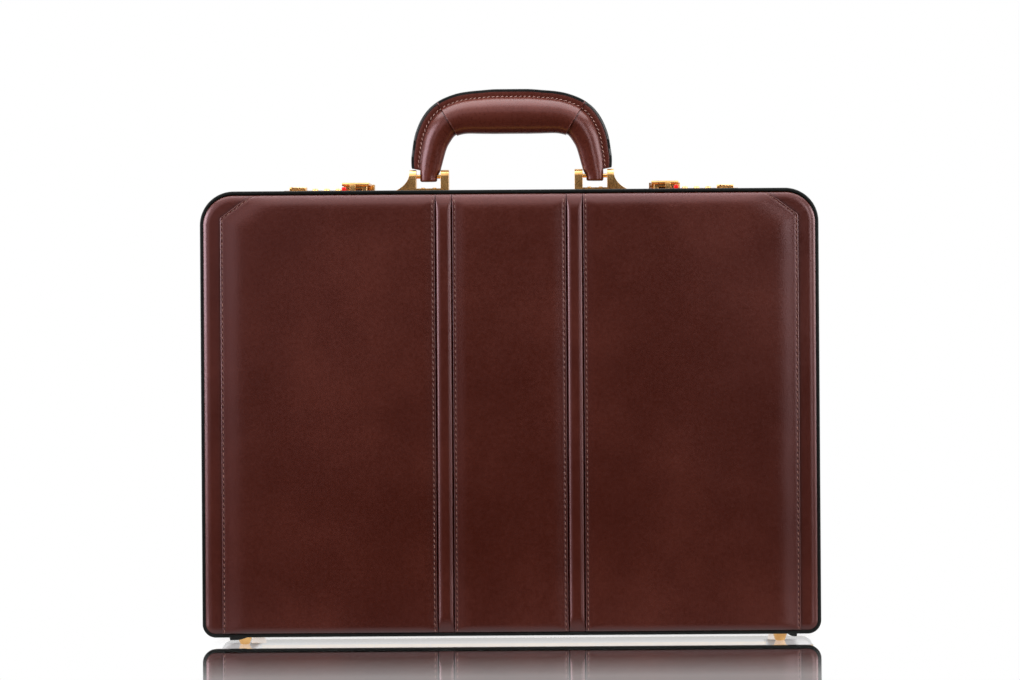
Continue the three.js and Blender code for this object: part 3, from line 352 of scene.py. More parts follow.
def mesh_from(name, points, faces):
    """A clean mesh: points in one place are joined, and every face points outwards."""
    mesh = bpy.data.meshes.new(name)
    mesh.from_pydata([tuple(p) for p in points], [], faces)
    mesh.validate()
    shape = bmesh.new()
    shape.from_mesh(mesh)
    bmesh.ops.remove_doubles(shape, verts=shape.verts, dist=0.002 * mm)
    bmesh.ops.recalc_face_normals(shape, faces=shape.faces)
    shape.to_mesh(mesh)
    shape.free()
    return mesh


def ring_faces(rings, count, loop=False):
    """The faces between rings of equal count, and one over either end unless the rings close in a loop."""
    faces = []
    for k in range(rings if loop else rings - 1):
        here, there = k * count, (k + 1) % rings * count
        for i in range(count):
            n = (i + 1) % count
            faces.append((here + i, here + n, there + n, there + i))
    if not loop:
        faces += [tuple(range(count))[::-1], tuple(range((rings - 1) * count, rings * count))]
    return faces


# %% [markdown]
# ## The bands round the case
# Piping, side leather, frames and linings all follow the same rounded outline, drawn in by some inset. A
# band takes the points of its section as insets and depths, and a ring of the outline is drawn through each
# one. The CAD corners have a few flats. Here the top ones have 24 steps, so the piping's highlight runs
# round them without a break.


# %% Outline and bands
def outline(inset, top_steps=24, bottom_steps=14):
    """The case's rounded outline from the front, drawn in by the inset."""
    half = CASE_WIDTH / 2 - inset
    points = []
    corners = [(1, 1, 0), (-1, 1, 1), (-1, -1, 2), (1, -1, 3)]
    for across, up, quarter in corners:
        radius = max((TOP_CORNER if up > 0 else BOTTOM_CORNER) - inset, 0.4 * mm)
        steps = top_steps if up > 0 else bottom_steps
        middle_z = BODY_TOP - inset - radius if up > 0 else BODY_BOTTOM + inset + radius
        for i in range(steps + 1):
            angle = (quarter + i / steps) * math.pi / 2
            x = across * (half - radius) + radius * math.cos(angle)
            points.append((x, middle_z + radius * math.sin(angle)))
    return points


def band(name, section, loop=True):
    """A strip right round the case. A loop's section is closed, as a cord's is."""
    rings = [[(x, depth, z) for x, z in outline(inset)] for inset, depth in section]
    count = len(rings[0])
    return mesh_from(name, [p for ring in rings for p in ring], ring_faces(len(rings), count, loop))


def rounded_section(corners, radius, steps=3):
    """Rounds each corner of a closed section, so that a band's edges catch the light."""
    points = []
    for i, corner in enumerate(corners):
        here = Vector(corner)
        before, after = Vector(corners[i - 1]), Vector(corners[(i + 1) % len(corners)])
        start = here + (before - here).normalized() * min(radius, (before - here).length * 0.45)
        end = here + (after - here).normalized() * min(radius, (after - here).length * 0.45)
        for k in range(steps + 1):
            t = k / steps
            points.append(tuple(start * (1 - t) ** 2 + here * 2 * t * (1 - t) + end * t**2))
    return points


# %% [markdown]
# The piping is a cord pressed between the face and the side leather, so it is nearly square with round
# edges. A superellipse draws that section: the power of 2 gives a circle, and 4 a soft square. Its ends hang
# out under the case, on the underside, as two short tails on each half. Each leaves the cord, drops, and
# spreads a little at its cut end.

# %% Piping
PIPING_RADIUS, PIPING_DEPTH, PIPING_SIDES = 1.4 * mm, 50.0 * mm, 24
PIPING_SQUARE = 4
for half, out in HALVES.items():
    section = []
    for i in range(PIPING_SIDES):
        across, ahead = math.cos(i * math.tau / PIPING_SIDES), math.sin(i * math.tau / PIPING_SIDES)
        spread = (abs(across) ** PIPING_SQUARE + abs(ahead) ** PIPING_SQUARE) ** (-1 / PIPING_SQUARE)
        reach = PIPING_RADIUS * spread
        section.append((PIPING_RADIUS + across * reach, out * (PIPING_DEPTH + ahead * reach)))
    name = f"{half}_piping_cord"
    new_piece(name, band(name, section), black_leather, half, [f"{half}_piping"], smooth=60)
print("piping:", len(section), "sides")


# %% Tails of the piping
def tube(name, path, radii, sides=12):
    """A round tube through the points of a path, closed at both ends."""
    points = []
    for i, here in enumerate(path):
        run = (Vector(path[min(i + 1, len(path) - 1)]) - Vector(path[max(i - 1, 0)])).normalized()
        side = run.cross(Vector((0, 1, 0))).normalized()
        for k in range(sides):
            angle = math.tau * k / sides
            spoke = side * math.cos(angle) + run.cross(side) * math.sin(angle)
            points.append(Vector(here) + spoke * radii[i])
    return mesh_from(name, points, ring_faces(len(path), sides))


TAIL_SPANS = {"lid": [(-196, -208.5), (204, 210.5)], "base": [(-204, -210.5), (196, 208.5)]}  # x, mm
TAIL_STEPS, TAIL_HEIGHT, TAIL_DROP = 12, 7.0, 1.7
TAIL_RADIUS, TAIL_SPREAD, TAIL_END = 1.25, 0.3, [1.35, 0.8]  # mm: along the tail, and its rounded end


def tail(name, out, start, end):
    """A short end of piping that drops quickly and then lies almost level."""
    path, radii = [], []
    for k in range(TAIL_STEPS + 1):
        t = 1 - (1 - k / TAIL_STEPS) ** 1.5
        drop = TAIL_DROP * math.sin(min(1, t / 0.6) * math.pi / 2)
        depth = PIPING_DEPTH + 0.5 * t * mm
        path.append(((start + (end - start) * t) * mm, out * depth, (TAIL_HEIGHT - drop) * mm))
        radii.append((TAIL_RADIUS + TAIL_SPREAD * t) * mm)
    radii[-2:] = [radius * mm for radius in TAIL_END]
    return tube(name, path, radii)


for half, out in HALVES.items():
    for number, (start, end) in enumerate(TAIL_SPANS[half], 1):
        name = f"{half}_piping_tail_{number}"
        new_piece(name, tail(name, out, start, end), black_leather, half, smooth=60)
print("tails:", sum(len(spans) for spans in TAIL_SPANS.values()))

# %% [markdown]
# Between the two bands of piping lies the side leather, and at the mouth of each half a metal frame. The
# frame is a channel that holds the leather and the board. The base's has a tongue that closes into a groove
# in the lid's. The suede lining follows inside. Each is a band with its own section, in millimetres: how far
# in from the outline, and how deep from the mouth. The ply shells keep their solids and only get a material.

# %% Side leather, frames, linings and shells
SIDE_END, MOUTH_GAP = 48.45 * mm, 0.2 * mm
CHANNEL = [(1.75, 0), (1.75, 7), (3.2, 7), (3.2, 3.2), (8.0, 3.2), (8.0, 7), (8.8, 7), (8.8, 0)]
MEETING = {"lid": [(7.5, 0), (7.5, 2.4), (4.5, 2.4), (4.5, 0)],  # the groove, and on the base the tongue
           "base": [(6.8, 0), (6.8, -2), (5.2, -2), (5.2, 0)]}
for half, out in HALVES.items():
    def at(distance, mouth=SEAM + out * MOUTH_GAP, out=out):
        return mouth + out * distance * mm

    side = [(1.9 * mm, out * SIDE_END), (1.9 * mm, at(7.1)), (3.2 * mm, at(7.1)), (3.2 * mm, out * SIDE_END)]
    new_piece(f"{half}_side", band(f"{half}_side", rounded_section(side, 0.5 * mm)), case_leather, half,
              [f"{half}_side_leather"], smooth=60)
    profile = rounded_section([(i * mm, at(d)) for i, d in CHANNEL + MEETING[half]], 0.35 * mm)
    new_piece(f"{half}_mouth_frame", band(f"{half}_mouth_frame", profile), brushed_brass, half,
              [f"{half}_frame"])
    lining = [(7.1 * mm, out * 46.8 * mm), (7.1 * mm, at(3.4)), (7.8 * mm, at(3.4)),
              (7.8 * mm, out * 44 * mm), (8.5 * mm, out * 45.5 * mm), (10 * mm, out * 46.1 * mm)]
    new_piece(f"{half}_suede", band(f"{half}_suede", lining, loop=False), suede, half,
              [f"{half}_lining"], smooth=50)
    shell = frame["nodes"][f"{half}_shell"].data
    shell.materials.clear()
    shell.materials.append(ply)
print("bands made for", list(HALVES))

# %% [markdown]
# ## The padded leather faces
# Each face is five pieces: a centre panel and two wide ones, with two narrow raised ribs between them. The
# lid also has a flat strip down each outer edge. A panel is leather folded over foam. It rolls down to the
# piping at its top and bottom, has a sharp folded edge beside each rib, and dips along the line of stitches.
# All of that depends only on how far a point lies from each edge, so a panel is a fine grid whose height
# comes from those distances. A cloth simulation would blur the folded edges, which is why none is run.


# %% Distances and heights on a face
def eased(distance, run):
    """Rises from 0 to 1 over the run, level at both ends."""
    t = min(max(distance / run, 0), 1)
    return t * t * (3 - 2 * t)


def rolled(distance, run):
    """Rises from 0 to 1 over the run along a quarter circle, so it starts upright."""
    t = 1 - min(max(distance / run, 0), 1)
    return math.sqrt(max(1 - t * t, 0))


ARCH_RISE = 0.52  # share of the run: the flatter the arc, the gentler its first slope


def arched(distance, run):
    """Rises from 0 to 1 over the run along part of a circle, so it starts at a slope and not upright."""
    rise = run * ARCH_RISE
    radius = (run**2 + rise**2) / (2 * rise)
    left = max(run - max(distance, 0), 0)
    return 1 - (radius - math.sqrt(radius**2 - left**2)) / rise


def soft_least(a, b, blend=0.9 * mm):
    """The lower of two heights, with the corner where they cross rounded off."""
    return min(a, b) - max(blend - abs(a - b), 0) ** 2 / (4 * blend)


def edge_distance(x, z):
    """How far a point lies inside the rounded outline of the face."""
    upper = z > (FACE_TOP + FACE_BOTTOM) / 2
    radius = FACE_TOP_CORNER if upper else FACE_BOTTOM_CORNER
    dx = FACE_HALF - radius - abs(x)
    dz = (FACE_TOP - radius - z) if upper else (z - FACE_BOTTOM - radius)
    if dx < 0 and dz < 0:
        return radius - math.hypot(dx, dz)
    return radius + min(dx, dz)


def seam_x(z):
    """Where the side seam runs at this height."""
    return SIDE_SEAM - MITRE_RUN * max(0, (z - (FACE_TOP - MITRE_DROP)) / MITRE_DROP)


MITRE_LENGTH = math.hypot(MITRE_RUN, MITRE_DROP)


def seam_distance(x, z):
    """How far a point lies inboard of the side seam, and how far along it."""
    corner = FACE_TOP - MITRE_DROP
    upright = SIDE_SEAM - abs(x)
    slant = ((SIDE_SEAM - abs(x)) * MITRE_DROP - (z - corner) * MITRE_RUN) / MITRE_LENGTH
    if slant < upright:
        along = (z - corner) * MITRE_DROP / MITRE_LENGTH + (SIDE_SEAM - abs(x)) * MITRE_RUN / MITRE_LENGTH
        return slant, corner + along
    return upright, z


NOISE_SLICE = 3.7  # any height in the noise does, as long as it stays the same


def ripple(x, z, size):
    """A gentle random wave about this wide, from -1 to 1."""
    return noise.noise(Vector((x / size, z / size, NOISE_SLICE)))


# %% Height of each piece above the board
def rib_gap(x, z):
    """How far a point lies from the folded edge beside the nearest rib."""
    return abs(abs(x) - RIB_PLACE) - RIB_HALF - CREASE


DIP_DEPTH, DIP_AT_HOLES, DIP_WIDTH = 0.16, 0.2, 0.55 * mm


def sewn_dip(distance, along):
    """The thread pulls the leather down along its line, and most of all at each hole."""
    pull = 0.5 + 0.5 * math.cos(math.tau * along / STITCH_PITCH)
    return (DIP_DEPTH + DIP_AT_HOLES * pull) * mm * math.exp(-(((distance - SEWN_IN) / DIP_WIDTH) ** 2))


SLACK_START, SLACK_RUN = 3 * mm, 12 * mm  # from the nearest edge in
BROAD_WAVE, FINE_WAVE = (0.16 * mm, 46 * mm), (0.05 * mm, 13 * mm)  # how high and how wide
RIB_SLACK, STRIP_SLACK = 0.25, 0.4  # shares of a panel's waves, since these are narrow


def slack(x, z, nearest):
    """The faint waves of leather that is stretched over foam."""
    broad, fine = (height * ripple(x, z, width) for height, width in (BROAD_WAVE, FINE_WAVE))
    return eased(nearest - SLACK_START, SLACK_RUN) * (broad + fine)


EDGE_RISE = 0.5 * mm  # board to the leather where it comes out from behind the piping
ROLL_RISE = 4.85 * mm  # from there to the top of the foam
TOP_ROLL, BOTTOM_ROLL = 14.5 * mm, 8 * mm
HAIR = 0.02 * mm  # so that an upright edge starts a little way up its curve, and not at its foot
# Beside a rib: the folded edge stands upright, rounds over, and the foam behind it lifts the leather slowly
FOLD_RISE, FOLD_RUN = 3.2 * mm, 0.4 * mm
SHOULDER_RISE, SHOULDER_RUN = 1.1 * mm, 2.2 * mm
FOAM_RISE, FOAM_START, FOAM_RUN = 1.1 * mm, 2 * mm, 10 * mm
# At a side seam: a rounder edge with more foam behind it, so the slope there catches the side light
SEAM_RISE, SEAM_RUN, SEAM_BLEND = 3.3 * mm, 1.5 * mm, 1.8 * mm
SEAM_FOAM_RISE, SEAM_FOAM_START, SEAM_FOAM_RUN = 2.1 * mm, 1.2 * mm, 17 * mm


def panel_height(x, z, mitred=True, outer=True):
    """The lowest of what each edge allows. The centre panel has no outer edge, the base's no side seam."""
    top = EDGE_RISE + ROLL_RISE * arched(FACE_TOP - z, TOP_ROLL)
    bottom = EDGE_RISE + ROLL_RISE * rolled(z - FACE_BOTTOM, BOTTOM_ROLL)
    height = soft_least(top, bottom)
    nearest = min(FACE_TOP - z, z - FACE_BOTTOM)
    inner = rib_gap(x, z)
    edge = FOLD_RISE * rolled(inner + HAIR, FOLD_RUN) + SHOULDER_RISE * rolled(inner, SHOULDER_RUN)
    edge += FOAM_RISE * eased(inner - FOAM_START, FOAM_RUN)
    height = soft_least(height, edge) - sewn_dip(inner, z)
    nearest = min(nearest, inner)
    if outer and mitred:
        seam, along = seam_distance(x, z)
        edge = SEAM_RISE * rolled(seam + HAIR, SEAM_RUN)
        edge += SEAM_FOAM_RISE * eased(seam - SEAM_FOAM_START, SEAM_FOAM_RUN)
        height = soft_least(height, edge, SEAM_BLEND) - sewn_dip(seam, along)
        nearest = min(nearest, seam)
    elif outer:
        edge_in = edge_distance(x, z)
        height = soft_least(height, EDGE_RISE + ROLL_RISE * rolled(edge_in, BOTTOM_ROLL))
        nearest = min(nearest, edge_in)
    return height + slack(x, z, nearest)


RIB_FOOT, RIB_WALL, RIB_CROWN = 0.6 * mm, 2.3 * mm, 2.7 * mm  # flange, upright wall and arched top
RIB_WALL_RUN, RIB_CROWN_RUN = 0.25 * mm, 4.2 * mm
STRIP_RISE, STRIP_RUN = 2.3 * mm, 5.4 * mm


def rib_height(x, z):
    """A rib: an upright wall on a narrow flange, and an arched crown."""
    side = RIB_HALF - abs(abs(x) - RIB_PLACE)
    ends = min(FACE_TOP - z, z - FACE_BOTTOM)
    crown = RIB_FOOT + RIB_WALL * rolled(side, RIB_WALL_RUN) + RIB_CROWN * arched(side, RIB_CROWN_RUN)
    return soft_least(crown, EDGE_RISE + ROLL_RISE * arched(ends, TOP_ROLL)) + RIB_SLACK * slack(x, z, ends)


def strip_height(x, z):
    """The strip outside the side seam, which is arched a little over its whole width."""
    edge_in = edge_distance(x, z)
    return EDGE_RISE + STRIP_RISE * arched(edge_in, STRIP_RUN) + STRIP_SLACK * slack(x, z, edge_in)


# %% Grids of points across a face
# Distances in from an edge, in mm: the surface turns most there, so the points crowd together
END_STEPS = [0, 0.12, 0.3, 0.55, 0.9, 1.3, 1.8, 2.4, 3.1, 3.9, 4.8, 5.8, 7.0, 8.4, 10.0]
SIDE_STEPS = [0, 0.1, 0.25, 0.45, 0.7, 1.0, 1.35, 1.75, 2.15, 2.6, 3.2, 4.0, 5.0, 6.2, 7.6, 9.2, 11, 13,
              15.5, 18.5]
NARROW_STEPS = [0, 0.1, 0.25, 0.45, 0.7, 1.0, 1.35, 1.75, 2.2, 2.7, 3.3, 4.0]
ROW_END, COLUMN_END = 0.45, 0.42  # the crowded part at either end is at most this share of the whole
PAD_LEAST, PAD_SUNK = 0.05 * mm, 0.1 * mm  # a pad's least height, and how far it reaches into the board


def spaced(start, end, steps, between):
    """Places from start to end, close together near both ends."""
    near = [s * mm for s in steps if s * mm < (end - start) * ROW_END]
    left, right = start + near[-1], end - near[-1]
    count = max(1, round((right - left) / between))
    middle = [left + (right - left) * i / count for i in range(1, count)]
    return [start + n for n in near] + middle + [end - n for n in reversed(near)]


def columns_across(start, end, steps, middle):
    """The same number of places in every row, even where the row is narrow."""
    scale = min(1, COLUMN_END * (end - start) / (steps[-1] * mm))
    near = [s * mm * scale for s in steps]
    left, right = start + near[-1], end - near[-1]
    inner = [left + (right - left) * i / middle for i in range(1, middle)]
    return [start + n for n in near] + inner + [end - n for n in reversed(near)]


def face_grid(name, out, rows, columns, span, height):
    """A closed pad over the grid: crown, sides and a flat underside on the board."""
    points = []
    for z in rows:
        for x in columns_across(*span(z), *columns):
            points.append((x, out * (FACE + max(height(x, z), PAD_LEAST)), z))
    count = len(points) // len(rows)
    faces = []
    for r in range(len(rows) - 1):
        for c in range(count - 1):
            a = r * count + c
            faces.append((a, a + 1, a + count + 1, a + count))
    last = (len(rows) - 1) * count
    rim = list(range(count)) + [r * count + count - 1 for r in range(1, len(rows))]
    rim += [last + c for c in range(count - 2, -1, -1)] + [r * count for r in range(len(rows) - 2, 0, -1)]
    under = len(points)
    for i in rim:
        points.append((points[i][0], out * (FACE - PAD_SUNK), points[i][2]))
    for k in range(len(rim)):
        n = (k + 1) % len(rim)
        faces.append((rim[k], rim[n], under + n, under + k))
    faces.append(tuple(under + k for k in range(len(rim))))
    return mesh_from(name, points, faces)


# Painted shade near folded edges: how far it reaches, and how much sooner it ends on a rib
FOLD_SHADE_FADE, RIB_SHADE_FADE = 2.2 * mm, 1.6  # how far the dark reaches, and how much sooner it ends on a rib


def mark_folds(mesh, distance):
    """Writes the attribute for the painted shade that darkens leather close to a folded edge."""
    fold = mesh.attributes.new("fold", "FLOAT", "POINT")
    values = [math.exp(-max(distance(v.co.x, v.co.z), 0) / FOLD_SHADE_FADE) for v in mesh.vertices]
    fold.data.foreach_set("value", values)


# %% [markdown]
# The grid's rows are a quarter of a stitch apart, so that the leather can swell a little between one thread
# hole and the next. Its columns crowd together at the folded edges, where the surface turns within a
# millimetre.

# %% Panels, ribs and edge strips
ROWS = spaced(FACE_BOTTOM, FACE_TOP, END_STEPS, STITCH_PITCH / 4)
COARSE_ROWS = spaced(FACE_BOTTOM, FACE_TOP, END_STEPS, 2.5 * mm)
PANEL_INNER, CENTRE_HALF = RIB_PLACE + RIB_HALF + CREASE, RIB_PLACE - RIB_HALF - CREASE
RIB_FLANGE, STRIP_UNDER = 1.6 * mm, 1.2 * mm  # how far a rib and a strip reach under the panels beside them


def ordered(side, near, far):
    """Two distances from the middle as places from left to right."""
    return (near, far) if side > 0 else (-far, -near)


def outer_edge(z):
    """Half the width of the face at this height, its rounded corners counted in."""
    up, down = z - (FACE_TOP - FACE_TOP_CORNER), (FACE_BOTTOM + FACE_BOTTOM_CORNER) - z
    if up > 0:
        return FACE_HALF - FACE_TOP_CORNER + math.sqrt(max(FACE_TOP_CORNER**2 - up**2, 0))
    if down > 0:
        return FACE_HALF - FACE_BOTTOM_CORNER + math.sqrt(max(FACE_BOTTOM_CORNER**2 - down**2, 0))
    return FACE_HALF


# Each piece gets painted shade along its folded edges through the fold attribute
for half, out in HALVES.items():
    mitred = out < 0
    centre = face_grid(
        f"{half}_centre", out, ROWS, (SIDE_STEPS, 10), lambda z: (-CENTRE_HALF, CENTRE_HALF),
        lambda x, z: panel_height(x, z, outer=False),
    )
    mark_folds(centre, rib_gap)
    middle = new_piece(f"{half}_centre", centre, case_leather, half, [f"{half}_panel_centre"])
    for side_name, side in SIDES.items():
        def panel_span(z, side=side, mitred=mitred):
            return ordered(side, PANEL_INNER, seam_x(z) if mitred else outer_edge(z))

        def fold_distance(x, z, mitred=mitred):
            return min(rib_gap(x, z), seam_distance(x, z)[0]) if mitred else rib_gap(x, z)

        wide = face_grid(
            f"{half}_wide_{side_name}", out, ROWS, (SIDE_STEPS, 26), panel_span,
            lambda x, z, mitred=mitred: panel_height(x, z, mitred=mitred),
        )
        mark_folds(wide, fold_distance)
        panel = new_piece(f"{half}_wide_{side_name}", wide, case_leather, half,
                          [f"{half}_panel_{side_name}"])
        reach = RIB_HALF + RIB_FLANGE
        rib = face_grid(
            f"{half}_raised_rib_{side_name}", out, COARSE_ROWS, (NARROW_STEPS, 8),
            lambda z, side=side, reach=reach: ordered(side, RIB_PLACE - reach, RIB_PLACE + reach), rib_height,
        )
        # The rib gets painted shade towards both its edges, beside the gaps
        mark_folds(rib, lambda x, z: (RIB_HALF - abs(abs(x) - RIB_PLACE)) * RIB_SHADE_FADE)
        raised = new_piece(f"{half}_raised_rib_{side_name}", rib, case_leather, half,
                           [f"{half}_rib_{side_name}"], smooth=50)
        if mitred:
            strip = face_grid(
                f"{half}_strip_{side_name}", out, ROWS, (NARROW_STEPS, 10),
                lambda z, side=side: ordered(side, seam_x(z) - STRIP_UNDER, outer_edge(z)), strip_height,
            )
            # The strip gets painted shade towards the side seam
            mark_folds(strip, lambda x, z: -seam_distance(x, z)[0])
            border = new_piece(f"{half}_strip_{side_name}", strip, case_leather, half,
                               [f"{half}_edge_strip_{side_name}"], smooth=50)
    print(half, "face:", len(centre.vertices), "points in the centre panel")

# %% [markdown]
# ## Stitches
# Every seam has a line of stitches 2.1 mm in from the folded edge, one each 4.1 mm, and each thread lies a
# few degrees across the line. There are hundreds, so a Geometry Nodes tree lays them: it cuts a guide line
# into steps of one pitch and puts a flattened bead of thread on each, turned along the line and facing out
# of the leather. The same tree, with short dark beads, paints the shade of the needle holes between them.


# %% The stitch tree
BEAD_SEGMENTS, BEAD_RINGS = 8, 5
BEAD_FLATNESS, BEAD_LOOSE = 0.75, 0.06  # height over width, and the most that one turns by chance, in radians


def stitch_tree():
    """Puts a bead of thread on each step of a guide, along it and facing the given way."""
    tree = bpy.data.node_groups.new("lay stitches", "GeometryNodeTree")
    face = tree.interface
    face.new_socket("Guide", in_out="INPUT", socket_type="NodeSocketGeometry")
    for name, kind in (("Pitch", "Float"), ("Length", "Float"), ("Thickness", "Float"), ("Slant", "Float"),
                       ("Facing", "Vector"), ("Seed", "Int"), ("Thread", "Material")):
        face.new_socket(name, in_out="INPUT", socket_type=f"NodeSocket{kind}")
    face.new_socket("Stitches", in_out="OUTPUT", socket_type="NodeSocketGeometry")
    given = add_node(tree, "NodeGroupInput").outputs
    line = add_node(tree, "GeometryNodeMeshToCurve", sockets={0: given["Guide"]})
    steps = add_node(tree, "GeometryNodeResampleCurve", {"mode": "LENGTH"},
                     {"Curve": line.outputs[0], "Length": given["Pitch"]})
    along = add_node(tree, "GeometryNodeInputTangent")
    turned = add_node(tree, "FunctionNodeAxesToRotation", {"primary_axis": "X", "secondary_axis": "Z"},
                      {"Primary Axis": along.outputs[0], "Secondary Axis": given["Facing"]})
    loose = add_node(tree, "FunctionNodeRandomValue", {"data_type": "FLOAT"}, {"Seed": given["Seed"]})
    loose.inputs[2].default_value, loose.inputs[3].default_value = -BEAD_LOOSE, BEAD_LOOSE
    lean = add_node(tree, "ShaderNodeMath", {"operation": "ADD"}, {0: given["Slant"], 1: loose.outputs[1]})
    spin = add_node(tree, "ShaderNodeCombineXYZ", sockets={"Z": lean.outputs[0]})
    spun = add_node(tree, "FunctionNodeEulerToRotation", sockets={0: spin.outputs[0]})
    lie = add_node(tree, "FunctionNodeRotateRotation", {"rotation_space": "LOCAL"},
                   {"Rotation": turned.outputs[0], "Rotate By": spun.outputs[0]})
    bead = add_node(tree, "GeometryNodeMeshUVSphere",
                    sockets={"Segments": BEAD_SEGMENTS, "Rings": BEAD_RINGS, "Radius": 0.5})
    flat = add_node(tree, "ShaderNodeMath", {"operation": "MULTIPLY"},
                    {0: given["Thickness"], 1: BEAD_FLATNESS})
    size = add_node(tree, "ShaderNodeCombineXYZ",
                    sockets={"X": given["Length"], "Y": given["Thickness"], "Z": flat.outputs[0]})
    soft = add_node(tree, "GeometryNodeSetShadeSmooth", sockets={0: bead.outputs["Mesh"]})
    placed = add_node(tree, "GeometryNodeInstanceOnPoints",
                      sockets={"Points": steps.outputs[0], "Instance": soft.outputs[0],
                               "Rotation": lie.outputs[0], "Scale": size.outputs[0]})
    real = add_node(tree, "GeometryNodeRealizeInstances", sockets={0: placed.outputs[0]})
    painted = add_node(tree, "GeometryNodeSetMaterial", sockets={"Geometry": real.outputs[0],
                                                                "Material": given["Thread"]})
    add_node(tree, "NodeGroupOutput", sockets={0: painted.outputs[0]})
    return tree


def grown(name, tree, guide, inputs):
    """Runs a tree on a guide mesh and returns what it made as a plain mesh."""
    holder = bpy.data.objects.new(f"{name} guide", guide)
    scene.collection.objects.link(holder)
    modifier = holder.modifiers.new("grow", "NODES")
    modifier.node_group = tree
    sockets = {s.name: s.identifier for s in tree.interface.items_tree if s.in_out == "INPUT"}
    for key, value in inputs.items():
        modifier[sockets[key]] = value
    bpy.context.view_layer.update()
    evaluated = holder.evaluated_get(bpy.context.evaluated_depsgraph_get())
    mesh = bpy.data.meshes.new_from_object(evaluated)
    mesh.name = name
    bpy.data.objects.remove(holder)
    return mesh


def guide_lines(name, lines):
    """Bare lines for a tree to lay things along. A line of one point is a place for one thing."""
    points, edges = [], []
    for line in lines:
        start = len(points)
        points += line
        edges += [(start + i, start + i + 1) for i in range(len(line) - 1)]
    mesh = bpy.data.meshes.new(name)
    mesh.from_pydata([tuple(p) for p in points], edges, [])
    return mesh


stitches = stitch_tree()

# %% Stitches on the faces
SEWN_BOTTOM, SEWN_TOP = FACE_BOTTOM + 2 * mm, FACE_TOP - 1.6 * mm
THREAD_LIFT = 0.06 * mm  # the thread's middle lies this far above the leather


def seam_line(side, inboard):
    """The side seam's line of stitches: up the side, then in along the diagonal."""
    corner_z = FACE_TOP - MITRE_DROP
    turn = math.atan2(MITRE_RUN, MITRE_DROP)
    knee = (SIDE_SEAM - inboard, corner_z - inboard * math.tan(turn / 2))
    end_x = knee[0] - (SEWN_TOP - knee[1]) * MITRE_RUN / MITRE_DROP
    path = [(SIDE_SEAM - inboard, SEWN_BOTTOM), knee, (end_x, SEWN_TOP)]
    points = []
    for (x0, z0), (x1, z1) in zip(path, path[1:]):
        count = max(2, round(math.hypot(x1 - x0, z1 - z0) / mm))
        for i in range(count + 1):
            points.append((side * (x0 + (x1 - x0) * i / count), z0 + (z1 - z0) * i / count))
    return points


for half, out in HALVES.items():
    lines = []
    for side in SIDES.values():
        for edge in (PANEL_INNER + SEWN_IN, CENTRE_HALF - SEWN_IN):
            column = [(side * edge, z) for z in spaced(SEWN_BOTTOM, SEWN_TOP, [0, 1], mm)]
            lines.append([(x, out * (FACE + panel_height(x, z, outer=False) + THREAD_LIFT), z)
                          for x, z in column])
        if out < 0:
            lines.append([(x, out * (FACE + panel_height(x, z) + THREAD_LIFT), z)
                          for x, z in seam_line(side, SEWN_IN)])
    shared = {"Pitch": STITCH_PITCH, "Facing": (0, out, 0), "Seed": 7}
    mesh = grown(f"{half}_face_stitches", stitches, guide_lines(f"{half} seams", lines),
                 {**shared, "Length": 3.0 * mm, "Thickness": 0.55 * mm, "Slant": 0.2, "Thread": thread})
    new_piece(f"{half}_face_stitches", mesh, thread, half, smooth=0)
    # Dark beads of painted shade stand for the needle holes, half a pitch later so that they lie between the
    # stitches
    between = [line[2:] for line in lines]  # half a pitch later, so the holes lie between the stitches
    holes = grown(f"{half}_needle_holes", stitches, guide_lines(f"{half} holes", between),
                  {**shared, "Length": 0.8 * mm, "Thickness": 0.62 * mm, "Slant": 0.5, "Thread": hole_shade})
    new_piece(f"{half}_needle_holes", holes, hole_shade, half, smooth=0)
    bead_points = BEAD_SEGMENTS * (BEAD_RINGS - 1) + 2
    print(half, "stitches:", len(mesh.vertices) // bead_points)

# %% [markdown]
# ## The handle
# The handle is leather wrapped round a padded core and sewn along the outside, where its two raw edges stand
# up in a fin that is painted black. Over the grip lies a second piece of leather, the sleeve, whose two ends
# stand out in a clear step. The handle's line is the same smooth curve as in the CAD model, and a section
# is swept along it: an oval, fuller towards the grip, whose outer side draws in with a small hollow to the
# fin.


# %% The handle's line
PIN_Y, PIN_Z = 4 * mm, LEATHER_TOP + 14.8 * mm
HANDLE_PLACE = Vector((0, PIN_Y, PIN_Z))  # the line's own zero: between the two pins
REACH, RISE, TAB_DROP = 62.9 * mm, 46.5 * mm, 3.9 * mm
half_line = [(1, -TAB_DROP / RISE), (1, 0), (0.99, 0.2), (0.968, 0.36), (0.912, 0.62), (0.79, 0.86),
             (0.61, 0.965), (0.31, 0.995), (0, 1)]
knots = [Vector((-x * REACH, 0, z * RISE)) for x, z in half_line]
knots += [Vector((x * REACH, 0, z * RISE)) for x, z in reversed(half_line[:-1])]


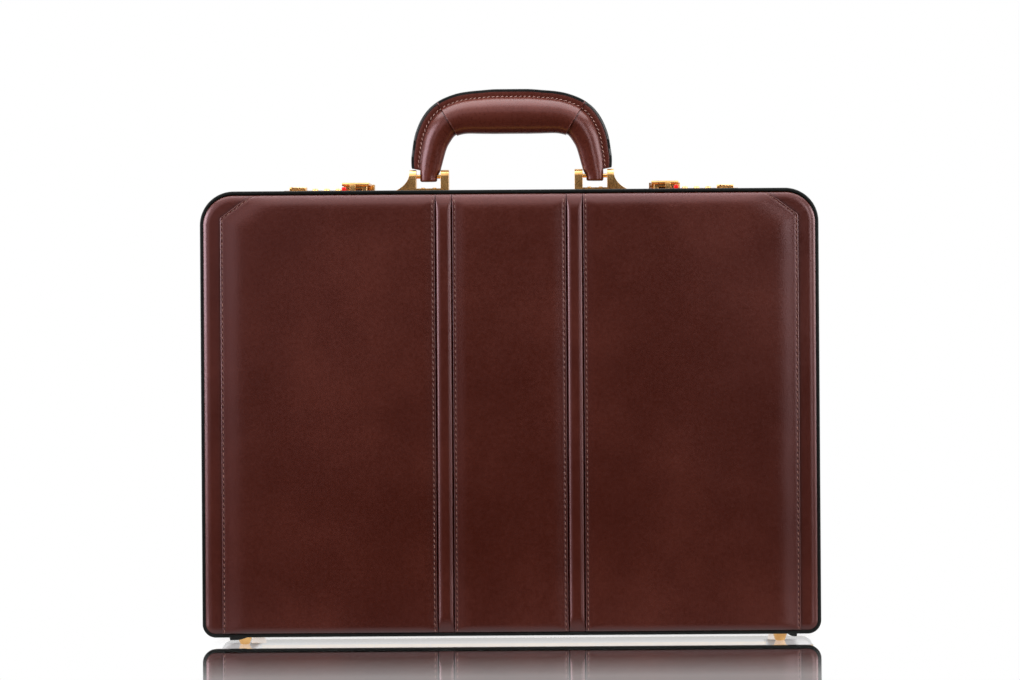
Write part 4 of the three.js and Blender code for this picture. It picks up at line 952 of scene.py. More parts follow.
def through_knots(points, per_span=24):
    """A centripetal curve through the points, the same rule as the CAD model's."""
    ends = [points[0] * 2 - points[1], *points, points[-1] * 2 - points[-2]]
    line = []
    for p0, p1, p2, p3 in zip(ends, ends[1:], ends[2:], ends[3:]):
        t0 = 0.0
        t1 = t0 + (p1 - p0).length ** 0.5
        t2 = t1 + (p2 - p1).length ** 0.5
        t3 = t2 + (p3 - p2).length ** 0.5
        for i in range(per_span):
            t = t1 + (t2 - t1) * i / per_span
            a1 = p0 * ((t1 - t) / (t1 - t0)) + p1 * ((t - t0) / (t1 - t0))
            a2 = p1 * ((t2 - t) / (t2 - t1)) + p2 * ((t - t1) / (t2 - t1))
            a3 = p2 * ((t3 - t) / (t3 - t2)) + p3 * ((t - t2) / (t3 - t2))
            b1 = a1 * ((t2 - t) / (t2 - t0)) + a2 * ((t - t0) / (t2 - t0))
            b2 = a2 * ((t3 - t) / (t3 - t1)) + a3 * ((t - t1) / (t3 - t1))
            line.append(b1 * ((t2 - t) / (t2 - t1)) + b2 * ((t - t1) / (t2 - t1)))
    return [*line, points[-1].copy()]


raw_line = through_knots(knots)
lengths = [0.0]
for a, b in zip(raw_line, raw_line[1:]):
    lengths.append(lengths[-1] + (b - a).length)
HANDLE_LENGTH = lengths[-1]


def on_line(share):
    """The point at this share of the handle line's length."""
    target = min(max(share, 0), 1) * HANDLE_LENGTH
    i = next((k for k in range(1, len(lengths)) if lengths[k] >= target), len(lengths) - 1)
    t = (target - lengths[i - 1]) / max(lengths[i] - lengths[i - 1], 1e-9)
    return raw_line[i - 1].lerp(raw_line[i], t)


def station(share):
    """A point of the handle's line, and the way outwards from it there."""
    step = 0.004
    run = (on_line(min(share + step, 1)) - on_line(max(share - step, 0))).normalized()
    return on_line(share), Vector((-run.z, 0, run.x))


print("handle line, mm:", round(HANDLE_LENGTH / mm))

# %% The handle's section
# Sizes in mm at shares of the way from a pin to the middle: inward, outward and sideways from the line
FULLNESS = [0, 0.045, 0.09, 0.16, 0.25, 0.38, 0.52, 0.72, 0.86, 1]
WIDTHS = [6.4, 6.7, 8.9, 9.8, 10.2, 11.1, 11.7, 12.9, 13.6, 13.6]
OUTWARD = [6.4, 6.5, 6.6, 6.9, 7.4, 8.8, 10.0, 11.5, 12.2, 12.2]
DEPTHS = [5.2, 5.2, 5.4, 5.9, 6.6, 8.0, 9.7, 10.9, 11.4, 11.4]
FIN_HEIGHT, FIN_HALF, FIN_END = 5.6 * mm, 1.8 * mm, 5.2 * mm
FIN_ON_LEG = 0.68  # share of the height that the fin keeps at the foot of a leg
FIN_LIP, FIN_PROUD = 0.45 * mm, 0.1 * mm  # its rounded edge, and how far the painted strip stands off it
TAB_CORNER = 1.3 * mm
NO_FIN = 0.01 * mm
SWELL_AT_FIN = 0.6  # share of the sleeve's thickness that the fin gains on either side


def fin_height(point):
    """The fin starts abruptly just above the brackets, and grows towards the grip."""
    leg = min(max(1 - point.z / RISE, 0), 1)
    return FIN_HEIGHT * (1 - (1 - FIN_ON_LEG) * leg) * eased(point.z - FIN_END + 0.5 * mm, 0.6 * mm)


def profile_at(sizes, share):
    """Size along the line, averaged over a short stretch so that it has no corners."""
    total = 0
    for k in range(-3, 4):
        fold = 1 - abs(1 - 2 * min(max(share + k * 0.003, 0), 1))
        n = max(1, next((i for i, s in enumerate(FULLNESS) if s >= fold), len(FULLNESS) - 1))
        t = (fold - FULLNESS[n - 1]) / (FULLNESS[n] - FULLNESS[n - 1])
        total += sizes[n - 1] + (sizes[n] - sizes[n - 1]) * t
    return total / 7 * mm


def fin_top(share, point):
    """How far outside the line the fin's painted edge runs."""
    return profile_at(WIDTHS, share) + fin_height(point)


def handle_section(share, swell=0.0, fin_trim=0.0, sides=36):
    """Points of the section, as outward and sideways offsets from the line."""
    point, out = station(share)
    from_end = min(share, 1 - share) * HANDLE_LENGTH
    tuck = TAB_CORNER * (1 - rolled(from_end + 0.05 * mm, TAB_CORNER))
    inner, outer = profile_at(WIDTHS, share) + swell - tuck, profile_at(OUTWARD, share) + swell - tuck
    depth = profile_at(DEPTHS, share) + swell - tuck
    width, shift = (inner + outer) / 2, (outer - inner) / 2
    fin = fin_top(share, point) - outer + swell - fin_trim if fin_height(point) > NO_FIN else 0
    fin_half = FIN_HALF + swell * SWELL_AT_FIN
    offsets = []
    for i in range(sides + 1):
        angle = math.pi * i / sides
        outward, sideways = width * math.cos(angle), depth * math.sin(angle)
        shoulder = max(outward / width, 0) ** 2.2
        narrow = fin_half + (depth - fin_half) * math.sqrt(max(1 - shoulder, 0))
        if fin < NO_FIN:
            reach = max(min(sideways, narrow), 0)
        else:
            reach = max(sideways * (1 - shoulder * 0.2), fin_half * shoulder)
        offsets.append((shift + outward + 0.06 * max(fin, 0) * shoulder, reach))
    if fin > NO_FIN:
        tip = [(outer + fin, 0), (outer + fin, fin_half - FIN_LIP), (outer + fin - FIN_LIP, fin_half),
               (outer + fin * 0.45, fin_half * 0.98)]
        offsets = tip + offsets
    else:
        offsets = [(outer, 0)] * 4 + offsets
    ring = offsets + [(o, -s) for o, s in reversed(offsets)]
    return [HANDLE_PLACE + point + out * o + Vector((0, s, 0)) for o, s in ring]


def swept(name, rings):
    """A closed solid through the rings."""
    return mesh_from(name, [p for ring in rings for p in ring], ring_faces(len(rings), len(rings[0])))


# %% [markdown]
# The roll is swept from pin to pin. Its stations crowd together at its ends, which are rounded, and just
# outside the sleeve. There the two leathers press together, and a nearly black line of painted shade marks
# where they meet: the roll gets the same "fold" attribute as the faces, up to 2.2 at the sleeve's end.

# %% The roll of the handle
def shares_between(start, end, count):
    """Evenly spaced shares of the line, both ends included."""
    return [start + (end - start) * i / count for i in range(count + 1)]


SLEEVE_END = 48 * mm  # from the middle, sideways
# How far the painted shade at the sleeve's ends reaches along the roll
CREASE_SHADE_FADE = 0.7 * mm
even_shares = {*shares_between(0, 1, 150), *shares_between(0, 0.06, 24), *shares_between(0.94, 1, 24),
               *shares_between(0, 0.008, 6), *shares_between(0.992, 1, 6)}
sleeve_start = next(s for s in sorted(even_shares) if abs(on_line(s).x) < SLEEVE_END)
outside_sleeve = {sleeve_start - step * mm / HANDLE_LENGTH for step in (0.1, 0.4, 0.8, 1.3, 1.9)}
roll_shares = sorted(even_shares | outside_sleeve | {1 - s for s in outside_sleeve})


def mark_sleeve_ends(mesh):
    """Writes the fold attribute, for the painted shade where the sleeve ends, by how far a point lies from
    that section.
    """
    point, out = station(sleeve_start)
    along = out.cross(Vector((0, 1, 0))).normalized()
    side = math.copysign(1, point.x)
    values = []
    for vertex in mesh.vertices:
        mirrored = Vector((side * abs(vertex.co.x), vertex.co.y, vertex.co.z))
        gap = abs((mirrored - HANDLE_PLACE - point).dot(along))
        values.append(CREASE_TO * math.exp(-gap / CREASE_SHADE_FADE))
    mesh.attributes.new("fold", "FLOAT", "POINT").data.foreach_set("value", values)


roll = swept("handle_wrap", [handle_section(s) for s in roll_shares])
mark_sleeve_ends(roll)
wrap = new_piece("handle_wrap", roll, handle_leather, "handle",
                 ["handle_roll", "handle_core"], smooth=60)

# %% The sleeve over the grip
SLEEVE_FIT, SLEEVE_THICK, SLEEVE_EDGE = 0.1 * mm, 0.8 * mm, 0.5 * mm
BEAD_RISE, BEAD_PLACE, BEAD_WIDTH = 0.25 * mm, 0.5 * mm, 0.4 * mm  # its turned edge is a little thicker
inside_sleeve = {sleeve_start + step * mm / HANDLE_LENGTH for step in (0.15, 0.3, 0.5, 0.7, 0.9, 1.15)}
sleeve_shares = {*shares_between(sleeve_start, 1 - sleeve_start, 90)}
sleeve_shares = sorted(sleeve_shares | inside_sleeve | {1 - s for s in inside_sleeve})


def sleeve_swell(share):
    """How far the sleeve stands off the roll: its thickness, rounded down at its ends."""
    edge = min(share - sleeve_start, 1 - sleeve_start - share) * HANDLE_LENGTH
    bead = BEAD_RISE * math.exp(-((edge - BEAD_PLACE) / BEAD_WIDTH) ** 2)
    return SLEEVE_FIT + SLEEVE_THICK * rolled(edge + HAIR, SLEEVE_EDGE) + bead


rings = [handle_section(s, swell=sleeve_swell(s), fin_trim=sleeve_swell(s)) for s in sleeve_shares]
sleeve = swept("handle_grip", rings)
grip = new_piece("handle_grip", sleeve, handle_leather, "handle", ["handle_sleeve"],
                 smooth=60)
print("handle pieces:", len(roll.vertices), len(sleeve.vertices))


# %% Painted edge of the fin
EDGE_PROUD, EDGE_INWARD, EDGE_LIP = 0.12 * mm, 1.9 * mm, 0.4 * mm


def fin_side(share):
    """Half the fin's thickness with its paint, and with the sleeve where that lies over it."""
    in_sleeve = sleeve_start < share < 1 - sleeve_start
    return FIN_HALF + FIN_PROUD + (SWELL_AT_FIN * sleeve_swell(share) if in_sleeve else 0)


def edge_ring(share):
    """The section of the paint: a cap over the fin's edge, with its corners cut."""
    point, out = station(share)
    outer, inner = fin_top(share, point) + EDGE_PROUD, fin_top(share, point) - EDGE_INWARD
    side = fin_side(share)
    corners = [(outer, -side * 0.75), (outer, side * 0.75), (outer - EDGE_LIP, side), (inner, side),
               (inner, -side), (outer - EDGE_LIP, -side)]
    return [HANDLE_PLACE + point + out * o + Vector((0, s, 0)) for o, s in corners]


fin_shares = [s for s in shares_between(0, 1, 300) if on_line(s).z > FIN_END]
paint = swept("handle_edge", [edge_ring(s) for s in fin_shares])
new_piece("handle_edge", paint, edge_paint, "handle", smooth=50)

# %% Stitches along the handle
SEAM_OUTWARD = 1.3 * mm  # how far up the fin the thread runs
for front, name in ((-1, "handle_stitches_front"), (1, "handle_stitches_back")):
    line = []
    for share in fin_shares[3:-3]:
        point, out = station(share)
        outward = out * (profile_at(OUTWARD, share) + SEAM_OUTWARD)
        line.append(HANDLE_PLACE + point + outward + Vector((0, front * fin_side(share), 0)))
    mesh = grown(name, stitches, guide_lines("handle seam", [line]),
                 {"Pitch": 3.4 * mm, "Length": 2.6 * mm, "Thickness": 0.6 * mm, "Slant": 0.36,
                  "Facing": (0, front, 0), "Seed": 11, "Thread": pale_thread})
    new_piece(name, mesh, pale_thread, "handle", smooth=0)
print("handle stitches made")

# %% [markdown]
# ## Brass and other hard pieces
# The brackets, locks, stays, hinge and feet are already the right shape in the CAD model. A copy of each is
# welded, its flat faces are joined and its edges get a small rounded bevel, because a real pressed or cast
# edge is never sharp, and the bevel is what catches the light.


# %% Dress a hard piece
def dressed(node, material, bevel, segments=3, sharp=32):
    """A CAD solid with its edges of more than the sharp angle rounded by a bevel of this width in mm."""
    solid = frame["nodes"][node]
    shape = bmesh.new()
    shape.from_mesh(solid.data)
    bmesh.ops.remove_doubles(shape, verts=shape.verts, dist=0.005 * mm)
    bmesh.ops.dissolve_limit(shape, angle_limit=math.radians(1), verts=shape.verts, edges=shape.edges)
    mesh = bpy.data.meshes.new(f"{node}_dressed")
    shape.to_mesh(mesh)
    shape.free()
    piece = new_piece(f"{node}_dressed", mesh, material, solid["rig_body"], [node], smooth=0)
    rounding = piece.modifiers.new("rounded edges", "BEVEL")
    rounding.width = bevel * mm
    rounding.segments = segments
    rounding.limit_method = "ANGLE"
    rounding.angle_limit = math.radians(sharp)
    rounding.harden_normals = False
    mesh.shade_smooth()
    mesh.set_sharp_from_angle(angle=math.radians(sharp + 6))


for side in SIDES:
    dressed(f"handle_bracket_{side}", polished_brass, 0.5)
    dressed(f"handle_pin_{side}", polished_brass, 0.25)
    dressed(f"lock_case_{side}", polished_brass, 0.25, 2)
    dressed(f"thumb_slide_{side}", polished_brass, 0.18, 2)
    dressed(f"staple_{side}", polished_brass, 0.3)
    dressed(f"hasp_pin_{side}", plain_steel, 0.2, 2)
    dressed(f"dial_shaft_{side}", plain_steel, 0.1, 2)
    dressed(f"stay_arm_{side}", brushed_brass, 0.15, 2)
    dressed(f"stay_pin_{side}", polished_brass, 0.2, 2)
for half in HALVES:
    dressed(f"hinge_leaf_{half}", brushed_brass, 0.1, 1, 40)
dressed("hinge_pin", plain_steel, 0.1, 1)
for side in SIDES:
    dressed(f"hasp_{side}", polished_brass, 0.3)
    for half in HALVES:
        dressed(f"foot_{half}_{side}", polished_brass, 0.4)
print("hard pieces dressed")

# %% [markdown]
# ## Number dials
# Each lock has three brass wheels with the numbers 0 to 9 round them. A wheel is turned in a lathe and then
# notched between every two numbers, so that a thumb can roll it. Here one closed section is carried round the
# axis, and its radius drops at each notch. The numbers come from Blender's own font, are made mesh, and are
# then laid round the rim.

# %% Wheels
DIAL_Y, DIAL_Z, DIAL_RADIUS, DIAL_HALF = 1.6 * mm, 334.8 * mm, 4.74 * mm, 2.1 * mm
DIAL_PLACES = [131.0 * mm, 139.7 * mm, 148.4 * mm]
WHEEL_SECTION = [(-1, 0.29), (-1, 0.8), (-0.97, 0.9), (-0.84, 0.965), (-0.7, 1), (0.7, 1), (0.84, 0.965),
                 (0.97, 0.9), (1, 0.8), (1, 0.29)]  # shares of the half width and of the radius
WHEEL_STEPS, NOTCHED_OVER = 120, 0.7  # only the rim, over this share of the radius, has notches
NUMBERS, NOTCH_DEPTH, NOTCH_WIDTH = 10, 0.5 * mm, 0.085
NUMBER_SIZE, NUMBER_RAISED = 3.0 * mm, 0.05 * mm
FIRST_NUMBER = math.radians(54)  # from the front, up: where the 0 stands at rest


def wheel(name, x):
    """One wheel: its section carried round the axis, with a notch between two numbers."""
    rings = []
    for k in range(WHEEL_STEPS):
        angle = math.tau * k / WHEEL_STEPS
        from_notch = abs((angle * NUMBERS / math.tau + 0.5) % 1 - 0.5) * math.tau / NUMBERS
        notch = NOTCH_DEPTH * math.exp(-((from_notch / NOTCH_WIDTH) ** 2))
        ring = []
        for across, share in WHEEL_SECTION:
            radius = DIAL_RADIUS * share - (notch if share > NOTCHED_OVER else 0)
            y, z = DIAL_Y - radius * math.cos(angle), DIAL_Z + radius * math.sin(angle)
            ring.append((x + across * DIAL_HALF, y, z))
        rings.append(ring)
    faces = ring_faces(WHEEL_STEPS, len(WHEEL_SECTION), loop=True)
    return mesh_from(name, [p for ring in rings for p in ring], faces)


def number_mesh(digit):
    """A figure of Blender's own font as a plain mesh."""
    text = bpy.data.curves.new(f"number {digit}", "FONT")
    text.body, text.size, text.extrude = str(digit), NUMBER_SIZE, NUMBER_RAISED
    text.align_x, text.align_y, text.resolution_u = "CENTER", "CENTER", 3
    holder = bpy.data.objects.new(f"number {digit}", text)
    scene.collection.objects.link(holder)
    bpy.context.view_layer.update()
    mesh = bpy.data.meshes.new_from_object(holder.evaluated_get(bpy.context.evaluated_depsgraph_get()))
    bpy.data.objects.remove(holder)
    return mesh


def laid_round(name, meshes, x):
    """The numbers bent round the wheel's rim, each at its own angle."""
    points, faces = [], []
    for digit, mesh in enumerate(meshes):
        angle = FIRST_NUMBER + math.tau * digit / NUMBERS
        out = Vector((0, -math.cos(angle), math.sin(angle)))
        up = Vector((0, math.sin(angle), math.cos(angle)))
        start = len(points)
        for vertex in mesh.vertices:
            u, v, w = vertex.co
            rim = math.sqrt(max(DIAL_RADIUS**2 - v**2, 0))
            points.append(Vector((x + u, DIAL_Y, DIAL_Z)) + up * v + out * (rim + w))
        faces += [tuple(start + i for i in polygon.vertices) for polygon in mesh.polygons]
    figures = bpy.data.meshes.new(name)
    figures.from_pydata([tuple(p) for p in points], [], faces)
    return figures


numbers = [number_mesh(digit) for digit in range(NUMBERS)]
for side_name, side in SIDES.items():
    for index, place in enumerate(DIAL_PLACES, 1):
        body = f"dial_{side_name}_{index}"
        turned = wheel(f"{body}_wheel", side * place)
        new_piece(f"{body}_wheel", turned, polished_brass, body, [body], smooth=30)
        figures = laid_round(f"{body}_numbers", numbers, side * place)
        new_piece(f"{body}_numbers", figures, ink, body, smooth=0)
print("wheels:", 2 * len(DIAL_PLACES), "with", NUMBERS, "numbers each")

# %% [markdown]
# ## Red marks
# A touch of red enamel beside each hasp shows where the lock stands. It is a thin rounded chip on the front
# of the staple that the hasp catches.

# %% Red marks beside the hasps
MARK_PLACE, MARK_HEIGHT, STAPLE_FRONT = 123.8 * mm, 337.6 * mm, -30.5 * mm
MARK_SIZE, MARK_THICK, MARK_SUNK = (3.4 * mm, 2.8 * mm), 0.5 * mm, 0.05 * mm


def chip(name, centre, size, lift, steps=6):
    """A rounded rectangle, flat on the wall behind it and domed a little towards the front."""
    half_x, half_z = size[0] / 2, size[1] / 2
    corner = min(half_x, half_z) * 0.6
    loop = []
    for across, up, quarter in ((1, 1, 0), (-1, 1, 1), (-1, -1, 2), (1, -1, 3)):
        for k in range(steps + 1):
            angle = (quarter + k / steps) * math.pi / 2
            loop.append((across * (half_x - corner) + corner * math.cos(angle),
                         up * (half_z - corner) + corner * math.sin(angle)))
    rings = []
    for scale, ahead in ((1, 0), (1, 0.55), (0.94, 0.85), (0.8, 1)):
        y = centre[1] - lift * ahead
        rings.append([(centre[0] + x * scale, y, centre[2] + z * scale) for x, z in loop])
    return mesh_from(name, [p for ring in rings for p in ring], ring_faces(len(rings), len(loop)))


for side_name, side in SIDES.items():
    centre = (side * MARK_PLACE, STAPLE_FRONT + MARK_SUNK, MARK_HEIGHT)
    mark = chip(f"red_mark_{side_name}", centre, MARK_SIZE, MARK_THICK)
    new_piece(f"red_mark_{side_name}", mark, red_enamel, "lid", smooth=40)
print("red marks:", len(SIDES))

# %% [markdown]
# ## Screws and rivets
# Small slotted screws hold the hinge's leaves and the locks, and round rivets hold the frames and the
# handle's brackets. One head of each kind is modelled, and a Geometry Nodes tree puts it on every point of a
# guide, facing the way that it is given and turned by a random amount, as screws in real life are.


# %% Heads for screws and rivets
DOME = [(1, 0), (1, 0.45), (0.9, 0.8), (0.6, 1)]  # shares of the radius and of the rise
HEAD_SIDES, SLOT_HALF = 16, 0.13  # half the slot's width, as a share of the radius


def head_mesh(name, radius, height, slotted=True, steps=10):
    """A domed head whose base lies at zero. A screw's is two half domes over a plate, a slot between them."""
    points, faces = [], []

    def dome(outline_points, low, rise):
        start, count = len(points), len(outline_points)
        middle_y = sum(y for x, y in outline_points) / count
        for scale, lift in DOME:
            z = low + rise * lift
            points.extend((x * scale, middle_y + (y - middle_y) * scale, z) for x, y in outline_points)
        faces.extend(tuple(start + i for i in face) for face in ring_faces(len(DOME), count))

    def circle(reach):
        turns = [math.tau * k / HEAD_SIDES for k in range(HEAD_SIDES)]
        return [(reach * math.cos(a), reach * math.sin(a)) for a in turns]

    if slotted:
        lean = math.asin(SLOT_HALF)
        arc = [lean + (math.pi - 2 * lean) * k / steps for k in range(steps + 1)]
        for side in (-1, 1):
            half = [(radius * math.cos(a), side * radius * math.sin(a)) for a in arc]
            dome(half if side > 0 else half[::-1], 0.2 * height, 0.8 * height)
        dome(circle(radius * 0.97), -0.3 * height, 0.6 * height)
    else:
        dome(circle(radius), -0.3 * height, 1.3 * height)
    return mesh_from(name, points, faces)


def head_tree():
    """Puts a head on each point of a guide, facing the given way and turned by chance."""
    tree = bpy.data.node_groups.new("lay heads", "GeometryNodeTree")
    face = tree.interface
    face.new_socket("Places", in_out="INPUT", socket_type="NodeSocketGeometry")
    for name, kind in (("Head", "Object"), ("Facing", "Vector"), ("Seed", "Int"), ("Metal", "Material")):
        face.new_socket(name, in_out="INPUT", socket_type=f"NodeSocket{kind}")
    face.new_socket("Heads", in_out="OUTPUT", socket_type="NodeSocketGeometry")
    given = add_node(tree, "NodeGroupInput").outputs
    spots = add_node(tree, "GeometryNodeMeshToPoints", sockets={"Mesh": given["Places"]})
    facing = add_node(tree, "FunctionNodeAlignRotationToVector", {"axis": "Z"}, {"Vector": given["Facing"]})
    any_turn = add_node(tree, "FunctionNodeRandomValue", {"data_type": "FLOAT"}, {"Seed": given["Seed"]})
    any_turn.inputs[2].default_value, any_turn.inputs[3].default_value = 0.0, math.pi
    spin = add_node(tree, "ShaderNodeCombineXYZ", sockets={"Z": any_turn.outputs[1]})
    spun = add_node(tree, "FunctionNodeEulerToRotation", sockets={0: spin.outputs[0]})
    turned = add_node(tree, "FunctionNodeRotateRotation", {"rotation_space": "LOCAL"},
                      {"Rotation": facing.outputs[0], "Rotate By": spun.outputs[0]})
    head = add_node(tree, "GeometryNodeObjectInfo", sockets={"Object": given["Head"]})
    placed = add_node(tree, "GeometryNodeInstanceOnPoints",
                      sockets={"Points": spots.outputs[0], "Instance": head.outputs["Geometry"],
                               "Rotation": turned.outputs[0]})
    real = add_node(tree, "GeometryNodeRealizeInstances", sockets={0: placed.outputs[0]})
    painted = add_node(tree, "GeometryNodeSetMaterial", sockets={"Geometry": real.outputs[0],
                                                                "Material": given["Metal"]})
    add_node(tree, "NodeGroupOutput", sockets={0: painted.outputs[0]})
    return tree


heads = head_tree()


def lay_heads(name, head, places, facing, material, body, seed):
    """Makes one piece of the heads at these places, and says how many there are."""
    pattern = bpy.data.objects.new(f"{name} pattern", head)
    scene.collection.objects.link(pattern)
    mesh = grown(name, heads, guide_lines(f"{name} places", [[place] for place in places]),
                 {"Head": pattern, "Facing": facing, "Seed": seed, "Metal": material})
    bpy.data.objects.remove(pattern)
    new_piece(name, mesh, material, body, smooth=28)
    return len(places)


screw = head_mesh("screw head", 1.75 * mm, 0.7 * mm)
small_screw = head_mesh("small screw head", 1.35 * mm, 0.5 * mm)
rivet = head_mesh("rivet head", 1.6 * mm, 0.8 * mm, slotted=False)

# %% Screws and rivets in place
LEAF_FACE, LEAF_PITCH, LEAF_LINE = 6.4 * mm, 42 * mm, 8.2 * mm
FRAME_INSET, FRAME_LINE = 8.8 * mm, 3.8 * mm  # the frame's inner face, and the rivets' way in from the mouth
BRACKET_TOP, LOCK_TOP, LOCK_SCREW_Y = 339.1 * mm, 337.4 * mm, 8.3 * mm
laid = 0
for half, out in HALVES.items():
    row = [((k - 4) * LEAF_PITCH, SEAM + out * LEAF_LINE, LEAF_FACE) for k in range(9)]
    laid += lay_heads(f"{half}_hinge_screws", screw, row, (0, 0, -1), brushed_brass, half, 3)
    mouth = SEAM + out * FRAME_LINE
    for side_name, side in SIDES.items():
        column = [(side * (CASE_WIDTH / 2 - FRAME_INSET), mouth, z * mm) for z in (72, 142, 212, 282)]
        laid += lay_heads(f"{half}_frame_rivets_{side_name}", rivet, column, (-side, 0, 0), brushed_brass,
                          half, 5)
    upper = [(x * mm, mouth, BODY_TOP - FRAME_INSET) for x in (-180, -108, -36, 36, 108, 180)]
    laid += lay_heads(f"{half}_frame_rivets_top", rivet, upper, (0, 0, -1), brushed_brass, half,
                      6)
for side_name, side in SIDES.items():
    row = [(side * x * mm, PIN_Y, BRACKET_TOP) for x in (58.6, 67.2)]
    laid += lay_heads(f"bracket_rivets_{side_name}", rivet, row, (0, 0, 1), polished_brass, "base",
                      8)
    row = [(side * x * mm, LOCK_SCREW_Y, LOCK_TOP) for x in (135.3, 144.1)]
    laid += lay_heads(f"lock_screws_{side_name}", small_screw, row, (0, 0, 1), polished_brass, "base",
                      9)
print("screws and rivets:", laid)

# %% [markdown]
# ## Inside the lid
# The lid holds a papers pocket with folded gussets, so that it can open, and a small organiser on its front:
# three card slots, pen loops and a flat pocket closed by a strap and a press stud. All of it is thin leather.
# Each leaf is a grid with a front and a back, and it bows a little, because leather that is held at its edges
# never lies flat.


# %% Thin leaves of leather
def leaf(name, x_span, bottom, top, y, thickness, bow=0.0, across=40, up=30, round_top=0.0):
    """An upright sheet facing +Y, whose top edge may be a function of x. It bows forward by bow."""
    left, right = x_span
    width = right - left
    front, back = [], []
    for r in range(up + 1):
        for c in range(across + 1):
            s, t = c / across, r / up
            x = left + width * s
            edge = top(x) if callable(top) else top
            inset = max(round_top - min(x - left, right - x), 0)
            edge -= round_top - math.sqrt(max(round_top**2 - inset**2, 0))
            z = bottom + (edge - bottom) * t
            rise = bow * math.sin(math.pi * s) ** 0.7 * math.sin(math.pi * min(t * 0.55 + 0.02, 0.5))
            rim = min(s, 1 - s, t, 1 - t)
            soft = thickness * 0.5 * (1 - rolled(rim * width * 0.5, thickness * 1.5))
            front.append((x, y + rise - soft * 0.5, z))
            back.append((x, y + rise - thickness + soft * 0.5, z))
    count, total = across + 1, len(front)
    faces = []
    for r in range(up):
        for c in range(across):
            a = r * count + c
            faces += [(a, a + 1, a + count + 1, a + count),
                      (total + a, total + a + count, total + a + count + 1, total + a + 1)]
    rim = list(range(count)) + [r * count + across for r in range(1, up + 1)]
    rim += [up * count + c for c in range(across - 1, -1, -1)] + [r * count for r in range(up - 1, 0, -1)]
    for here, there in zip(rim, [*rim[1:], rim[0]]):
        faces.append((here, there, total + there, total + here))
    return mesh_from(name, front + back, faces)


def folded(name, section, thickness, start, end, along):
    """A sheet folded along a section and drawn straight from start to end, such as a gusset."""
    places = []
    for side in (0, 1):
        ring = []
        for i, here in enumerate(section):
            run = Vector(section[min(i + 1, len(section) - 1)]) - Vector(section[max(i - 1, 0)])
            normal = Vector((-run.y, run.x)).normalized() * thickness * side
            ring.append(Vector(here) + normal)
        places.append(ring)
    ring = places[0] + places[1][::-1]
    points = []
    for end_place in (start, end):
        for p in ring:
            points.append((p.x, p.y, end_place) if along == "Z" else (end_place, p.y, p.x))
    return mesh_from(name, points, ring_faces(2, len(ring)))


def sewn(name, lines, pitch=3.6 * mm):
    """Stitches along lines on the inside of the lid."""
    mesh = grown(name, stitches, guide_lines(f"{name} lines", lines),
                 {"Pitch": pitch, "Length": 2.5 * mm, "Thickness": 0.5 * mm, "Slant": 0.12,
                  "Facing": (0, 1, 0), "Seed": 4, "Thread": thread})
    new_piece(name, mesh, thread, "lid", smooth=0)


# %% Papers pocket
POCKET_HALF, POCKET_BOTTOM, POCKET_TOP, POCKET_DIP = 200 * mm, 22.6 * mm, 237.6 * mm, 6 * mm
POCKET_FRONT, POCKET_BACK = -28.0 * mm, -45.9 * mm
LEAF_HALF = POCKET_HALF - 1.2 * mm
GUSSET_STEPS = 16


def pocket_top(x):
    """The mouth dips towards its middle, where a hand goes in."""
    return POCKET_TOP - POCKET_DIP * math.cos(math.pi * x / (2 * POCKET_HALF)) ** 2


def leather_leaf(name, x_span, bottom, top, y, thickness, replaces=(), **shape):
    mesh = leaf(name, x_span, bottom, top, y, thickness, **shape)
    new_piece(name, mesh, inside_leather, "lid", replaces, smooth=40)


def leather_fold(name, section, thickness, start, end, along):
    mesh = folded(name, section, thickness, start, end, along)
    new_piece(name, mesh, inside_leather, "lid", smooth=50)


def zigzag(depth):
    """The section of a gusset: two soft folds between the back of the pocket and its front."""
    start, end = POCKET_BACK + 1.2 * mm, POCKET_FRONT - 1.8 * mm
    for k in range(GUSSET_STEPS + 1):
        fold = abs(math.sin(math.tau * k / GUSSET_STEPS)) ** 0.8
        yield depth * fold * mm, start + (end - start) * k / GUSSET_STEPS


leather_leaf("pocket_front", (-LEAF_HALF, LEAF_HALF), POCKET_BOTTOM, pocket_top, POCKET_FRONT, 1.7 * mm,
             ["papers_pocket"], round_top=7 * mm)
leather_leaf("pocket_back", (-LEAF_HALF, LEAF_HALF), POCKET_BOTTOM, POCKET_TOP, POCKET_BACK + 1.1 * mm,
             1.1 * mm, across=20, up=12)
for side_name, side in SIDES.items():
    section = [(side * (POCKET_HALF - 1.3 * mm - fold), y) for fold, y in zigzag(5.5)]
    leather_fold(f"pocket_gusset_{side_name}", section, side * -0.8 * mm, POCKET_BOTTOM + 1 * mm,
                 POCKET_TOP - 9 * mm, "Z")
section = [(POCKET_BOTTOM + 0.6 * mm + fold, y) for fold, y in zigzag(4.5)]
leather_fold("pocket_floor", section, 0.8 * mm, -POCKET_HALF + 8 * mm, POCKET_HALF - 8 * mm, "X")
print("pocket made with", GUSSET_STEPS, "steps in each gusset")


# %% Stitches of the pocket
def row_across(z, half, y, step=2 * mm):
    """A line of points from side to side, at a height that may change with x."""
    count = round(2 * half / step)
    places = [-half + 2 * half * k / count for k in range(count + 1)]
    return [(x, y, z(x) if callable(z) else z) for x in places]


edge_in, sewn_y = POCKET_HALF - 4.5 * mm, POCKET_FRONT + 0.1 * mm
lines = [row_across(lambda x: pocket_top(x) - 7 * mm, edge_in, sewn_y),
         row_across(lambda x: pocket_top(x) - 2.6 * mm, edge_in - 3 * mm, sewn_y),
         row_across(POCKET_BOTTOM + 3 * mm, edge_in, sewn_y)]
for side in SIDES.values():
    lines.append([(side * edge_in, sewn_y, z * mm) for z in range(28, 227, 3)])
sewn("pocket_stitches", lines)
print("pocket's lines of stitches:", len(lines))

